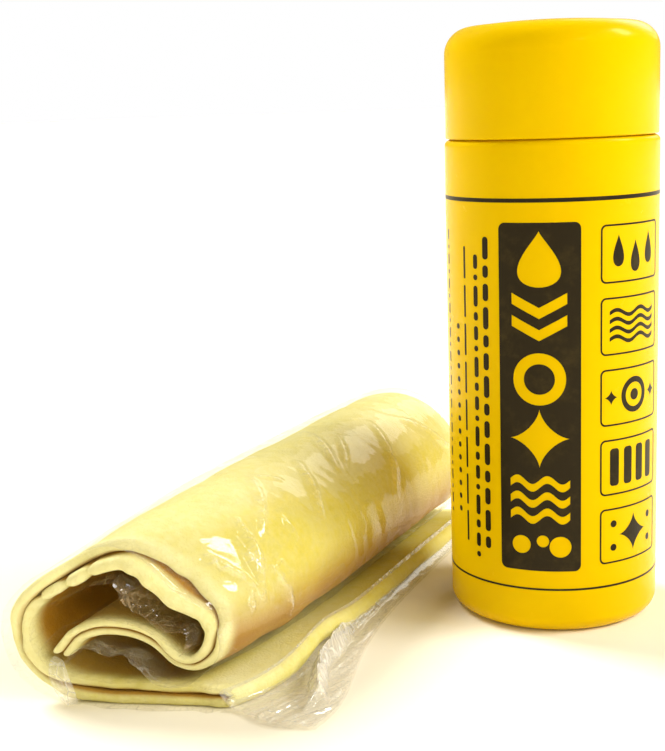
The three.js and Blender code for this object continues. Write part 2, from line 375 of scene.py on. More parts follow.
@dataclass(frozen=True)
class ClearFilm:
    """Clear glossy film with fine creases. It mirrors more at a glancing angle and is hazy where crumpled."""

    name: str = "clear_film"
    head_on: float = 0.06
    glancing: float = 0.42
    crumpled_gloss: float = 0.06
    haze: float = 0.015
    crumpled_haze: float = 0.05
    crease_haze: float = 0.30
    roughness: float = 0.08
    creases_per_metre: float = 120.0
    fine_creases_per_metre: float = 480.0
    crease_height: float = 0.0006
    smooth_share: float = 0.12
    clear_tint: tuple = (0.99, 0.985, 0.97, 1.0)
    milk: tuple = (0.95, 0.93, 0.9, 1.0)

    def make(self) -> bpy.types.Material:
        """Gives the material.

        Returns:
            The material.
        """
        tree = FinishTree(self.name)
        place = tree.place("UV")
        crumple = tree.attribute("crumple")
        height = self.cells(tree, place, self.creases_per_metre, "F1")
        fine = self.cells(tree, place, self.fine_creases_per_metre, "F1")
        crease = self.crease_lines(tree, place, self.creases_per_metre, 0.045)
        fine_crease = self.crease_lines(tree, place, self.fine_creases_per_metre, 0.1)
        relief = (height + 0.3 * fine) * (self.smooth_share + (1.0 - self.smooth_share) * crumple)
        normal = tree.bump(relief, self.crease_height)
        layer = tree.add("ShaderNodeLayerWeight", None, {"Blend": 0.5, "Normal": normal})
        facing = tree.term(layer, "Facing")
        mirror = self.head_on + self.crumpled_gloss * crumple + self.glancing * facing**5.0
        lines = (0.6 * crease + 0.6 * fine_crease) * crumple
        haze = self.haze + self.crumpled_haze * crumple + self.crease_haze * lines
        clear = tree.add("ShaderNodeBsdfTransparent", None, {"Color": self.clear_tint})
        milky = tree.add("ShaderNodeBsdfDiffuse", None, {"Color": self.milk, "Normal": normal})
        gloss = tree.add("ShaderNodeBsdfGlossy", None, {"Roughness": self.roughness, "Normal": normal})
        body = tree.add("ShaderNodeMixShader", None, {0: haze, 1: clear.outputs[0], 2: milky.outputs[0]})
        film = tree.add("ShaderNodeMixShader", None, {0: mirror, 1: body.outputs[0], 2: gloss.outputs[0]})
        return tree.finish(film.outputs[0])

    @classmethod
    def inside(cls) -> "ClearFilm":
        """Gives the film inside the roll as a shaded copy: its mirror is dimmed as painted shade, and its
        haze is brown as a painted reflection of the cloth.
        """
        return cls("clear_film_inside", 0.035, 0.1, 0.04, 0.005, 0.03, 0.35, milk=(0.8, 0.6, 0.38, 1.0))

    @classmethod
    def crushed(cls) -> "ClearFilm":
        """Gives film that is crushed in many layers."""
        return cls("clear_film_crushed", 0.08, 0.42, 0.10, 0.04, 0.30, 0.40)

    @classmethod
    def milky(cls) -> "ClearFilm":
        """Gives film that is folded in many layers and lets less through."""
        return cls("clear_film_milky", 0.08, 0.42, 0.10, 0.10, 0.12, 0.30)

    @staticmethod
    def cells(tree: FinishTree, place: Any, per_metre: float, feature: str) -> Term:
        """Gives a cellular pattern: heights that meet in sharp creases, or the distance to the creases.

        Args:
            tree: The material's tree.
            place: The coordinates.
            per_metre: Its cells in a metre.
            feature: F1 for the heights, DISTANCE_TO_EDGE for the distance.

        Returns:
            The pattern.
        """
        inputs = {"Vector": place, "Scale": per_metre, "Randomness": 1.0}
        node = tree.add("ShaderNodeTexVoronoi", {"feature": feature, "distance": "EUCLIDEAN"}, inputs)
        return tree.term(node, "Distance")

    @classmethod
    def crease_lines(cls, tree: FinishTree, place: Any, per_metre: float, width: float) -> Term:
        """Gives 1 on the creases, fading to 0 at a width from them, as a share of a cell."""
        return 1.0 - cls.cells(tree, place, per_metre, "DISTANCE_TO_EDGE").within(0.0, width)


# Meshes


def grid_faces(rows: int, columns: int, closed_columns: bool = False) -> Array:
    """Gives the faces of a grid of points, each joining a point with its next neighbours.

    Args:
        rows: The grid's rows.
        columns: Its points in a row.
        closed_columns: True where each row is a closed ring.

    Returns:
        Four corner numbers a face.
    """
    row, column = np.meshgrid(
        np.arange(rows - 1), np.arange(columns if closed_columns else columns - 1), indexing="ij"
    )
    following = (column + 1) % columns
    corners = [row * columns + column, row * columns + following]
    corners += [(row + 1) * columns + following, (row + 1) * columns + column]
    return np.stack(corners, -1).reshape(-1, 4)


def make_piece(name: str, points: Array, faces: Array, material: bpy.types.Material) -> bpy.types.Object:
    """Makes a smooth-shaded piece from points and four-sided faces.

    Args:
        name: The piece's name.
        points: The points, one a row.
        faces: Corner numbers, four a row; a triangle repeats its last corner.
        material: Its finish.

    Returns:
        The piece.
    """
    mesh = bpy.data.meshes.new(name)
    triangle = faces[:, 2] == faces[:, 3]
    counts = np.where(triangle, 3, 4)
    kept = np.ones(faces.shape, bool)
    kept[triangle, 3] = False
    starts = np.concatenate([[0], np.cumsum(counts)[:-1]])
    mesh.vertices.add(len(points))
    mesh.vertices.foreach_set("co", points.astype(np.float32).ravel())
    mesh.loops.add(int(counts.sum()))
    mesh.loops.foreach_set("vertex_index", faces[kept].astype(np.int32))
    mesh.polygons.add(len(faces))
    mesh.polygons.foreach_set("loop_start", starts.astype(np.int32))
    mesh.update(calc_edges=True)
    mesh.validate()
    mesh.shade_smooth()
    mesh.materials.append(material)
    return add_to_scene(name, mesh)


def add_to_scene(name: str, data: Any) -> bpy.types.Object:
    """Makes an object of a mesh, light or camera and puts it into the scene.

    Args:
        name: The object's name.
        data: What it is made of.

    Returns:
        The object.
    """
    made = bpy.data.objects.new(name, data)
    bpy.context.scene.collection.objects.link(made)
    return made


def set_uv(piece: bpy.types.Object, coordinates: Array) -> None:
    """Gives a piece a UV map from one pair of coordinates a point, in metres along its surface.

    Args:
        piece: The piece.
        coordinates: The pairs, one a row.
    """
    mesh = piece.data
    corners = np.zeros(len(mesh.loops), np.int32)
    mesh.loops.foreach_get("vertex_index", corners)
    layer = mesh.uv_layers.new(name="surface")
    layer.data.foreach_set("uv", coordinates[corners].astype(np.float32).ravel())


def set_attribute(piece: bpy.types.Object, name: str, values: Array) -> None:
    """Gives a piece a named number at each point, which its material reads."""
    layer = piece.data.attributes.new(name, "FLOAT", "POINT")
    layer.data.foreach_set("value", values.astype(np.float32).ravel())


def arc(centre: tuple, radius: float, start_deg: float, end_deg: float, steps: int = 12) -> Array:
    """Gives points of a circular arc.

    Args:
        centre: The arc's centre.
        radius: Its radius.
        start_deg: The angle of its first point.
        end_deg: The angle of its last point.
        steps: Its steps.

    Returns:
        The points, centre + radius * (cos, sin) of evenly spaced angles.
    """
    angles = np.radians(np.linspace(start_deg, end_deg, steps + 1))
    return np.stack([centre[0] + radius * np.cos(angles), centre[1] + radius * np.sin(angles)], -1)


def turned_piece(
    name: str, profile: Array, material: bpy.types.Material, segments: int = 224, sharp_deg: float = 38.0
) -> bpy.types.Object:
    """Turns a profile about the Z axis: each point (r, z) becomes a ring (r cos a, r sin a, z).

    Args:
        name: The piece's name.
        profile: Radius and height of each point, from the axis back to the axis.
        material: Its finish.
        segments: Points in a ring.
        sharp_deg: The angle from which an edge is left sharp.

    Returns:
        The piece, closed at both poles.
    """
    angles = np.arange(segments) * 2.0 * np.pi / segments
    rings = profile[1:-1]
    ring_points = np.stack(
        [
            np.outer(rings[:, 0], np.cos(angles)),
            np.outer(rings[:, 0], np.sin(angles)),
            np.repeat(rings[:, 1:2], segments, axis=1),
        ],
        -1,
    ).reshape(-1, 3)
    points = np.vstack([ring_points, [[0.0, 0.0, profile[0, 1]], [0.0, 0.0, profile[-1, 1]]]])
    side = grid_faces(len(rings), segments, closed_columns=True)
    one = np.arange(segments)
    following = (one + 1) % segments
    last = (len(rings) - 1) * segments
    low_pole = np.full(segments, len(ring_points))
    start = np.stack([low_pole, following, one, one], -1)
    end = np.stack([low_pole + 1, last + one, last + following, last + following], -1)
    piece = make_piece(name, points, np.vstack([side, start, end]), material)
    piece.data.set_sharp_from_angle(angle=math.radians(sharp_deg))
    return piece


# Tube and cap


@dataclass
class StorageTube:
    """Round tube: foot with a groove, rounded base, straight wall, rounded shoulder and beaded neck."""

    plastic: bpy.types.Material
    wall: float = 0.0014
    base_round: float = 0.0045
    shoulder_round: float = 0.0016
    neck_height: float = 0.017
    neck_inset: float = 0.0019
    neck_wall: float = 0.0014
    neck_root_round: float = 0.0008
    bead_height: float = 0.0003
    bead_width: float = 0.0024
    bead_drop: float = 0.006
    groove_radius: float = 0.019
    groove_width: float = 0.003
    groove_depth: float = 0.0007
    radius: float = field(init=False)
    top: float = field(init=False)
    shoulder: float = field(init=False)

    def __post_init__(self) -> None:
        """Takes the tube's radius and heights from the frame."""
        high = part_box("storage_tube")[1]
        self.radius = high.x
        self.top = high.z
        self.shoulder = self.top - self.neck_height

    def profile(self) -> Array:
        """Gives the wall's profile from the foot up outside, over the neck and down inside.

        Returns:
            The radius and height of each point.
        """
        inner = self.radius - self.wall
        neck = self.radius - self.neck_inset
        neck_inner = neck - self.neck_wall
        edge = self.neck_wall / 4
        groove_end = self.groove_radius + self.groove_width
        under = self.shoulder - self.wall
        inner_base = self.base_round - self.wall / 2
        root = (neck + self.neck_root_round, self.shoulder + self.neck_root_round)
        inner_shoulder = self.shoulder_round / 2
        straight_end = self.shoulder - self.shoulder_round
        heights = np.linspace(self.base_round, straight_end, 13)[1:-1]
        share = np.linspace(-1.0, 1.0, 9)
        bead_out = self.bead_height * np.cos(share * np.pi / 2) ** 2
        bead_up = self.top - self.bead_drop + share * self.bead_width / 2
        return np.vstack(
            [
                [[0.0, 0.0], [self.groove_radius / 2, 0.0], [self.groove_radius, 0.0]],
                [[self.groove_radius + self.groove_depth, self.groove_depth]],
                [[groove_end - self.groove_depth, self.groove_depth], [groove_end, 0.0]],
                arc((self.radius - self.base_round, self.base_round), self.base_round, -90, 0, 16),
                np.stack([np.full(len(heights), self.radius), heights], -1),
                arc((self.radius - self.shoulder_round, straight_end), self.shoulder_round, 0, 90, 10),
                arc(root, self.neck_root_round, -90, -180, 6),
                np.stack([neck + bead_out, bead_up], -1),
                [[neck, self.top - edge], [neck - edge, self.top]],
                [[neck_inner + edge, self.top], [neck_inner, self.top - edge]],
                [[neck_inner, under], [inner - inner_shoulder, under], [inner, under - inner_shoulder]],
                [[inner, self.top / 2]],
                arc((inner - inner_base, self.wall + inner_base), inner_base, 0, -90, 10),
                [[0.0, self.wall]],
            ]
        )

    def build(self) -> list[bpy.types.Object]:
        """Builds the tube in place of its plain solid.

        Returns:
            The one piece.
        """
        piece = turned_piece("tube_wall", self.profile(), self.plastic)
        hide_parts("storage_tube")
        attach(piece, Body.TUBE.value)
        return [piece]


@dataclass
class PullOffCap:
    """Deep cap with a large crown round and a shallow dome."""

    plastic: bpy.types.Material
    wall: float = 0.0013
    top_wall: float = 0.0016
    crown_round: float = 0.0074
    dome: float = 0.0012
    skirt_round: float = 0.0005
    radius: float = field(init=False)
    bottom: float = field(init=False)
    top: float = field(init=False)

    def __post_init__(self) -> None:
        """Takes the cap's radius and heights from the frame."""
        low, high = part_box("cap")
        self.radius = high.x
        self.bottom = low.z
        self.top = high.z

    def profile(self) -> Array:
        """Gives the profile from the ceiling down inside, round the skirt's edge and up over the crown.

        Returns:
            The radius and height of each point.
        """
        inner = self.radius - self.wall
        round_top = self.top - self.dome
        ceiling = self.top - self.top_wall
        inner_round = self.crown_round - self.wall
        inner_top = round_top - self.top_wall
        flat = self.radius - self.crown_round
        skirt = (self.radius - self.skirt_round, self.bottom + self.skirt_round)
        across = np.linspace(flat, 0.0, 12)[1:]
        crown = np.stack([across, self.top - self.dome * (across / flat) ** 2], -1)
        return np.vstack(
            [
                [[0.0, ceiling]],
                arc((inner - inner_round, inner_top - inner_round), inner_round, 90, 0, 10),
                [[inner, self.bottom + self.skirt_round / 2], [inner - self.skirt_round / 4, self.bottom]],
                arc(skirt, self.skirt_round, -90, 0, 5),
                arc((flat, round_top - self.crown_round), self.crown_round, 0, 90, 22),
                crown,
            ]
        )

    def build(self) -> list[bpy.types.Object]:
        """Builds the cap in place of its plain solid.

        Returns:
            The one piece.
        """
        piece = turned_piece("cap_shell", self.profile(), self.plastic)
        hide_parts("cap")
        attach(piece, Body.CAP.value)
        return [piece]


# Print on the tube


@dataclass(frozen=True)
class Patch:
    """One inked area of the print: an outline with holes, as (across, up) on the unrolled wall."""

    outline: Array
    holes: tuple = ()

    def moved(self, across: float, up: float) -> "Patch":
        """Gives the patch moved across and up."""
        shift = np.array([across, up])
        return Patch(self.outline + shift, tuple(hole + shift for hole in self.holes))

    @classmethod
    def repeated(cls, outline: Array, spots: Iterable[tuple]) -> list["Patch"]:
        """Gives one patch of the outline at each spot (across, up)."""
        return [cls(outline).moved(across, up) for across, up in spots]


class Motif:
    """Outlines of the print's plain figures. Each is centred on zero."""

    @staticmethod
    def disc(radius: float, steps: int = 40) -> Array:
        """Gives a circle: radius * (cos a, sin a)."""
        return arc((0.0, 0.0), radius, 0.0, 360.0 - 360.0 / steps, steps - 1)

    @staticmethod
    def drop(width: float, height: float, steps: int = 56) -> Array:
        """Gives a drop with its point up: 0.62 width * sin a * sin(a/2)^1.5 across, height/2 * cos a up.

        Args:
            width: Its width.
            height: Its height.
            steps: Its points.

        Returns:
            The outline.
        """
        angle = np.arange(steps) * 2.0 * np.pi / steps
        across = 0.62 * width * np.sin(angle) * np.sin(angle / 2.0) ** 1.5
        return np.stack([across, height / 2.0 * np.cos(angle)], -1)[::-1]

    @staticmethod
    def sparkle(size: float, steps: int = 56) -> Array:
        """Gives a four-pointed sparkle, the astroid size/2 * (cos^3 a, sin^3 a)."""
        angle = np.arange(steps) * 2.0 * np.pi / steps
        return size / 2.0 * np.stack([np.cos(angle) ** 3, np.sin(angle) ** 3], -1)

    @staticmethod
    def chevron(width: float, rise: float, thickness: float) -> Array:
        """Gives a chevron that points down, a bent bar of even thickness.

        Args:
            width: Its width.
            rise: From its tip up to its ends.
            thickness: The bar's height.

        Returns:
            The outline.
        """
        half = width / 2.0
        top, low = rise / 2.0, -rise / 2.0
        lower = [[-half, top], [0.0, low], [half, top]]
        upper = [[half, top + thickness], [0.0, low + thickness], [-half, top + thickness]]
        return np.array(lower + upper)

    @staticmethod
    def wave(width: float, swing: float, thickness: float, turns: float = 2.0, steps: int = 48) -> Array:
        """Gives a band of even height about the line swing/2 * sin(2 pi turns x / width).

        Args:
            width: Its width.
            swing: From trough to crest.
            thickness: The band's height.
            turns: How many waves there are.
            steps: The points of one edge.

        Returns:
            The outline.
        """
        across = np.linspace(-width / 2.0, width / 2.0, steps)
        middle = swing / 2.0 * np.sin(2.0 * np.pi * turns * across / width)
        lower = np.stack([across, middle - thickness / 2.0], -1)
        upper = np.stack([across, middle + thickness / 2.0], -1)
        return np.vstack([lower, upper[::-1]])

    @staticmethod
    def block(width: float, height: float, corner: float, steps: int = 6) -> Array:
        """Gives a rectangle with rounded corners.

        Args:
            width: Its width.
            height: Its height.
            corner: The corners' radius.
            steps: Their steps.

        Returns:
            The outline.
        """
        right, top = width / 2.0 - corner, height / 2.0 - corner
        corners = [(right, -top, -90.0), (right, top, 0.0), (-right, top, 90.0), (-right, -top, 180.0)]
        return np.vstack([arc((x, z), corner, start, start + 90.0, steps) for x, z, start in corners])


@dataclass
class TubePrint:
    """Black print of plain figures: a tall panel, a column of framed marks, dashes and two rules."""

    tube: StorageTube
    ink: bpy.types.Material
    thickness: float = 0.00003
    lift: float = 0.00004
    slice_arc: float = 0.0012
    top_rule: float = 0.1208
    bottom_rule: float = 0.0131
    top_rule_width: float = 0.0011
    bottom_rule_width: float = 0.0006
    panel_angle_deg: float = -6.5
    panel_width: float = 0.0225
    panel_height: float = 0.0965
    panel_middle: float = 0.0667
    frame_angle_deg: float = 48.0
    frame_width: float = 0.0236
    frame_height: float = 0.0158
    frame_pitch: float = 0.0196
    frame_line: float = 0.0005
    frame_count: int = 5
    weld_distance: float = 0.000002

    def panel(self) -> list[Patch]:
        """Gives the tall panel, with its figures left out of the ink so that the wall shows.

        Returns:
            The panel and the disc in its ring.
        """
        rows = [
            (0.0385, Motif.drop(0.0135, 0.0150)),
            (0.0245, Motif.chevron(0.0150, 0.0040, 0.0030)),
            (0.0185, Motif.chevron(0.0150, 0.0040, 0.0030)),
            (0.0060, Motif.disc(0.0072)),
            (-0.0105, Motif.sparkle(0.0165)),
            (-0.0232, Motif.wave(0.0165, 0.0024, 0.0022)),
            (-0.0278, Motif.wave(0.0165, 0.0024, 0.0022)),
            (-0.0324, Motif.wave(0.0165, 0.0024, 0.0022)),
        ]
        holes = [figure + np.array([0.0, up]) for up, figure in rows]
        bubbles = [(-0.0052, -0.0408, 0.0026), (0.0008, -0.0396, 0.0017), (0.0056, -0.0412, 0.0030)]
        holes += [Motif.disc(radius) + np.array([across, up]) for across, up, radius in bubbles]
        block = Patch(Motif.block(self.panel_width, self.panel_height, 0.0018, 8), tuple(holes))
        kernel = Patch(Motif.disc(0.0042)).moved(0.0, 0.0060)
        across = math.radians(self.panel_angle_deg) * self.tube.radius
        return [patch.moved(across, self.panel_middle) for patch in (block, kernel)]

    def frames(self) -> list[Patch]:
        """Gives the column of framed marks, each a thin frame round plain figures.

        Returns:
            The frames and their figures.
        """
        inside_width = self.frame_width - 2.0 * self.frame_line
        inside_height = self.frame_height - 2.0 * self.frame_line
        frame = Patch(
            Motif.block(self.frame_width, self.frame_height, 0.0016),
            (Motif.block(inside_width, inside_height, 0.0012),),
        )
        ring = Patch(Motif.disc(0.0050), (Motif.disc(0.0034),))
        drops = [(-0.0062, 0.0008), (0.0, -0.001), (0.0062, 0.0008)]
        levels = [(0.0, up) for up in (-0.0036, -0.0012, 0.0012, 0.0036)]
        sides = [(-0.0084, 0.0), (0.0084, 0.0)]
        bars = [(across, 0.0) for across in (-0.0072, -0.0024, 0.0024, 0.0072)]
        corners = [(across, up) for across in (-0.0074, 0.0074) for up in (-0.0034, 0.0034)]
        marks = [
            Patch.repeated(Motif.drop(0.0042, 0.0086), drops),
            Patch.repeated(Motif.wave(0.0180, 0.0016, 0.0011), levels),
            [ring, Patch(Motif.disc(0.0016)), *Patch.repeated(Motif.sparkle(0.0042), sides)],
            Patch.repeated(Motif.block(0.0030, 0.0106, 0.0010), bars),
            [Patch(Motif.sparkle(0.0110)), *Patch.repeated(Motif.disc(0.0010), corners)],
        ]
        across = math.radians(self.frame_angle_deg) * self.tube.radius
        first = self.panel_middle + self.frame_pitch * (self.frame_count - 1) / 2.0
        patches = []
        for index, mark in enumerate(marks):
            up = first - index * self.frame_pitch
            patches += [patch.moved(across, up) for patch in [frame, *mark]]
        return patches

    def dashes(self) -> list[Patch]:
        """Gives upright columns of rounded dashes and dots beside the panel.

        A column has its angle in degrees, width, the lengths that it repeats, gap, top and bottom.

        Returns:
            The dashes.
        """
        columns = [
            (-36.5, 0.0019, (0.0062, 0.0034, 0.0048), 0.0016, 0.111, 0.024),
            (-43.5, 0.0016, (0.0040, 0.0016, 0.0058, 0.0024), 0.0015, 0.106, 0.019),
            (-52.5, 0.0008, (0.0090,), 0.0018, 0.108, 0.022),
            (-60.0, 0.0016, (0.0016,), 0.0022, 0.086, 0.030),
            (-73.0, 0.0010, (0.0030, 0.0012), 0.0014, 0.112, 0.030),
        ]
        patches = []
        for angle, width, lengths, gap, top, bottom in columns:
            across = math.radians(angle) * self.tube.radius
            up, index = top, 0
            while up > bottom:
                length = lengths[index % len(lengths)]
                corner = 0.48 * min(width, length)
                patches.append(Patch(Motif.block(width, length, corner, 4)).moved(across, up - length / 2.0))
                up -= length + gap
                index += 1
        return patches

    def flat_mesh(self, patches: list[Patch]) -> bmesh.types.BMesh:
        """Fills the patches as flat triangles, cut into narrow upright strips that bend round the wall.

        Args:
            patches: The inked areas.

        Returns:
            The flat mesh, in X and Z.
        """
        flat = bmesh.new()
        for patch in patches:
            loops = [[Vector((x, 0.0, z)) for x, z in loop] for loop in (patch.outline, *patch.holes)]
            corners = [flat.verts.new(point) for loop in loops for point in loop]
            for triangle in tessellate_polygon(loops):
                flat.faces.new([corners[index] for index in triangle])
        half_round = math.pi * self.tube.radius
        for across in np.arange(-half_round, half_round, self.slice_arc):
            everything = flat.verts[:] + flat.edges[:] + flat.faces[:]
            place = (across, 0.0, 0.0)
            bmesh.ops.bisect_plane(flat, geom=everything, plane_co=place, plane_no=(1.0, 0.0, 0.0))
        return flat

    def rules(self) -> list[Patch]:
        """Gives the two rules that run round the wall, as strips of its whole circumference.

        Returns:
            The two rules.
        """
        around = 2.0 * math.pi * self.tube.radius
        levels = ((self.top_rule, self.top_rule_width), (self.bottom_rule, self.bottom_rule_width))
        return [Patch(Motif.block(around, width, 0.25 * width, 1)).moved(0.0, up) for up, width in levels]

    def build(self) -> list[bpy.types.Object]:
        """Builds the print: a flat point (x, z) goes to angle x / radius on the wall, at height z.

        Returns:
            The one piece.
        """
        flat = self.flat_mesh([*self.panel(), *self.frames(), *self.dashes(), *self.rules()])
        radius = self.tube.radius + self.lift
        for vertex in flat.verts:
            angle = vertex.co.x / self.tube.radius
            vertex.co = Vector((radius * math.sin(angle), -radius * math.cos(angle), vertex.co.z))
        bmesh.ops.remove_doubles(flat, verts=flat.verts[:], dist=self.weld_distance)
        bmesh.ops.recalc_face_normals(flat, faces=flat.faces[:])
        for face in flat.faces:
            middle = face.calc_center_median()
            outward = Vector((middle.x, middle.y, 0.0))
            if face.normal.dot(outward) < 0.0:
                face.normal_flip()
        mesh = bpy.data.meshes.new("tube_print")
        flat.to_mesh(mesh)
        flat.free()
        mesh.materials.append(self.ink)
        piece = add_to_scene("tube_print", mesh)
        solidify = piece.modifiers.new("ink thickness", "SOLIDIFY")
        solidify.thickness = self.thickness
        solidify.offset = -1.0
        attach(piece, Body.TUBE.value)
        return [piece]


# Roll of cloth and bag


def ripples(across: Array, along: Array, wavelength: float, seed: int, count: int = 14) -> Array:
    """Gives a smooth uneven field from about -1 to 1, a sum of cosine waves in random directions.

    Args:
        across: One coordinate of each place.
        along: The other coordinate.
        wavelength: The usual length of a wave.
        seed: Which field.
        count: How many waves are added.

    Returns:
        The sum of cos(k . place + phase) over the waves, over 1.6 times the root of half their count.
    """
    random = np.random.default_rng(seed)
    angles = random.uniform(0.0, 2.0 * np.pi, count)
    numbers = 2.0 * np.pi / (wavelength * random.uniform(0.7, 1.6, count))
    phases = random.uniform(0.0, 2.0 * np.pi, count)
    total = np.zeros(np.broadcast(across, along).shape)
    for angle, number, phase in zip(angles, numbers, phases):
        total += np.cos(number * (across * np.cos(angle) + along * np.sin(angle)) + phase)
    return total / math.sqrt(count / 2.0) / 1.6


def creased(across: Array, along: Array, size: float, seed: int, count: int = 7) -> Array:
    """Gives the height of creased film from 0 to 1: a mean of folded waves |sin| in random directions.

    Args:
        across: One coordinate of each place.
        along: The other coordinate.
        size: The usual distance between two creases.
        seed: Which field.
        count: How many waves there are.

    Returns:
        The mean of |sin(k . place + phase)| over the waves, at places bent by ripples.
    """
    random = np.random.default_rng(seed)
    angles = random.uniform(0.0, np.pi, count)
    numbers = np.pi / (size * random.uniform(0.6, 1.8, count))
    phases = random.uniform(0.0, np.pi, count)
    bend = 0.35 * size * ripples(across, along, 3.0 * size, seed + 1)
    total = np.zeros(np.broadcast(across, along).shape)
    for angle, number, phase in zip(angles, numbers, phases):
        wave = number * ((across + bend) * np.cos(angle) + (along - bend) * np.sin(angle)) + phase
        total += np.abs(np.sin(wave))
    return total / count


def tent_fold(
    across: Array, along: Array, start: tuple, end: tuple, width: float, height: float, rounded: bool = False
) -> Array:
    """Gives a straight fold of film with a sharp crest that fades to nothing at both ends.

    Args:
        across: Place round the roll.
        along: Place along the roll.
        start: One end of the crest, as (across, along).
        end: The other end.
        width: From the crest to the foot of either side.
        height: The crest's greatest height.
        rounded: True for a welt with a round crest.

    Returns:
        height * sin(pi t)^0.6 * (1 - distance / width), and 0 beyond the width, where t runs along the crest.
        A welt has exp(-(2 distance / width)^2) in place of the last term.
    """
    way = np.subtract(end, start)
    length = float(np.hypot(*way))
    way = way / length
    from_start = (across - start[0]) * way[0] + (along - start[1]) * way[1]
    distance = np.abs((across - start[0]) * -way[1] + (along - start[1]) * way[0])
    share = np.clip(from_start / length, 0.0, 1.0)
    crest = np.sin(np.pi * share) ** 0.6
    side = np.exp(-((2.0 * distance / width) ** 2)) if rounded else np.clip(1.0 - distance / width, 0.0, None)
    return height * crest * side


def smooth_step(value: Array, low: float, high: float) -> Array:
    """Gives 0 up to low, 1 from high on, and t * t * (3 - 2 t) between them."""
    share = np.clip((value - low) / (high - low), 0.0, 1.0)
    return share * share * (3.0 - 2.0 * share)


def step_down(value: Array, low: float, high: float) -> Array:
    """Gives 1 up to low and 0 from high on, with a smooth step between them."""
    return 1.0 - smooth_step(value, low, high)


def plateau(value: Array, rise: tuple, fall: tuple) -> Array:
    """Gives 1 between two smooth steps, one up over rise and one down over fall, and 0 outside them."""
    return smooth_step(value, *rise) * step_down(value, *fall)


def fade(distance: Array, length: float) -> Array:
    """Gives exp(-distance / length), and 1 in front of zero."""
    return np.exp(-np.clip(distance, 0.0, None) / length)


def bell(value: Array, middle: float, width: float) -> Array:
    """Gives exp(-((value - middle) / width)^2)."""
    return np.exp(-(((value - middle) / width) ** 2))


def eased_stops(length: float, first: float, count: int) -> Array:
    """Gives distances from 0 to length whose steps grow evenly, so that the front has most of them.

    Args:
        length: The last distance.
        first: About the first step.
        count: How many steps.

    Returns:
        The distances, one more than the steps.
    """
    growth = 1.0 + 2.0 * (length - count * first) / (first * count * (count - 1)) * np.arange(count)
    stops = np.concatenate([[0.0], np.cumsum(first * growth)])
    return stops * length / stops[-1]


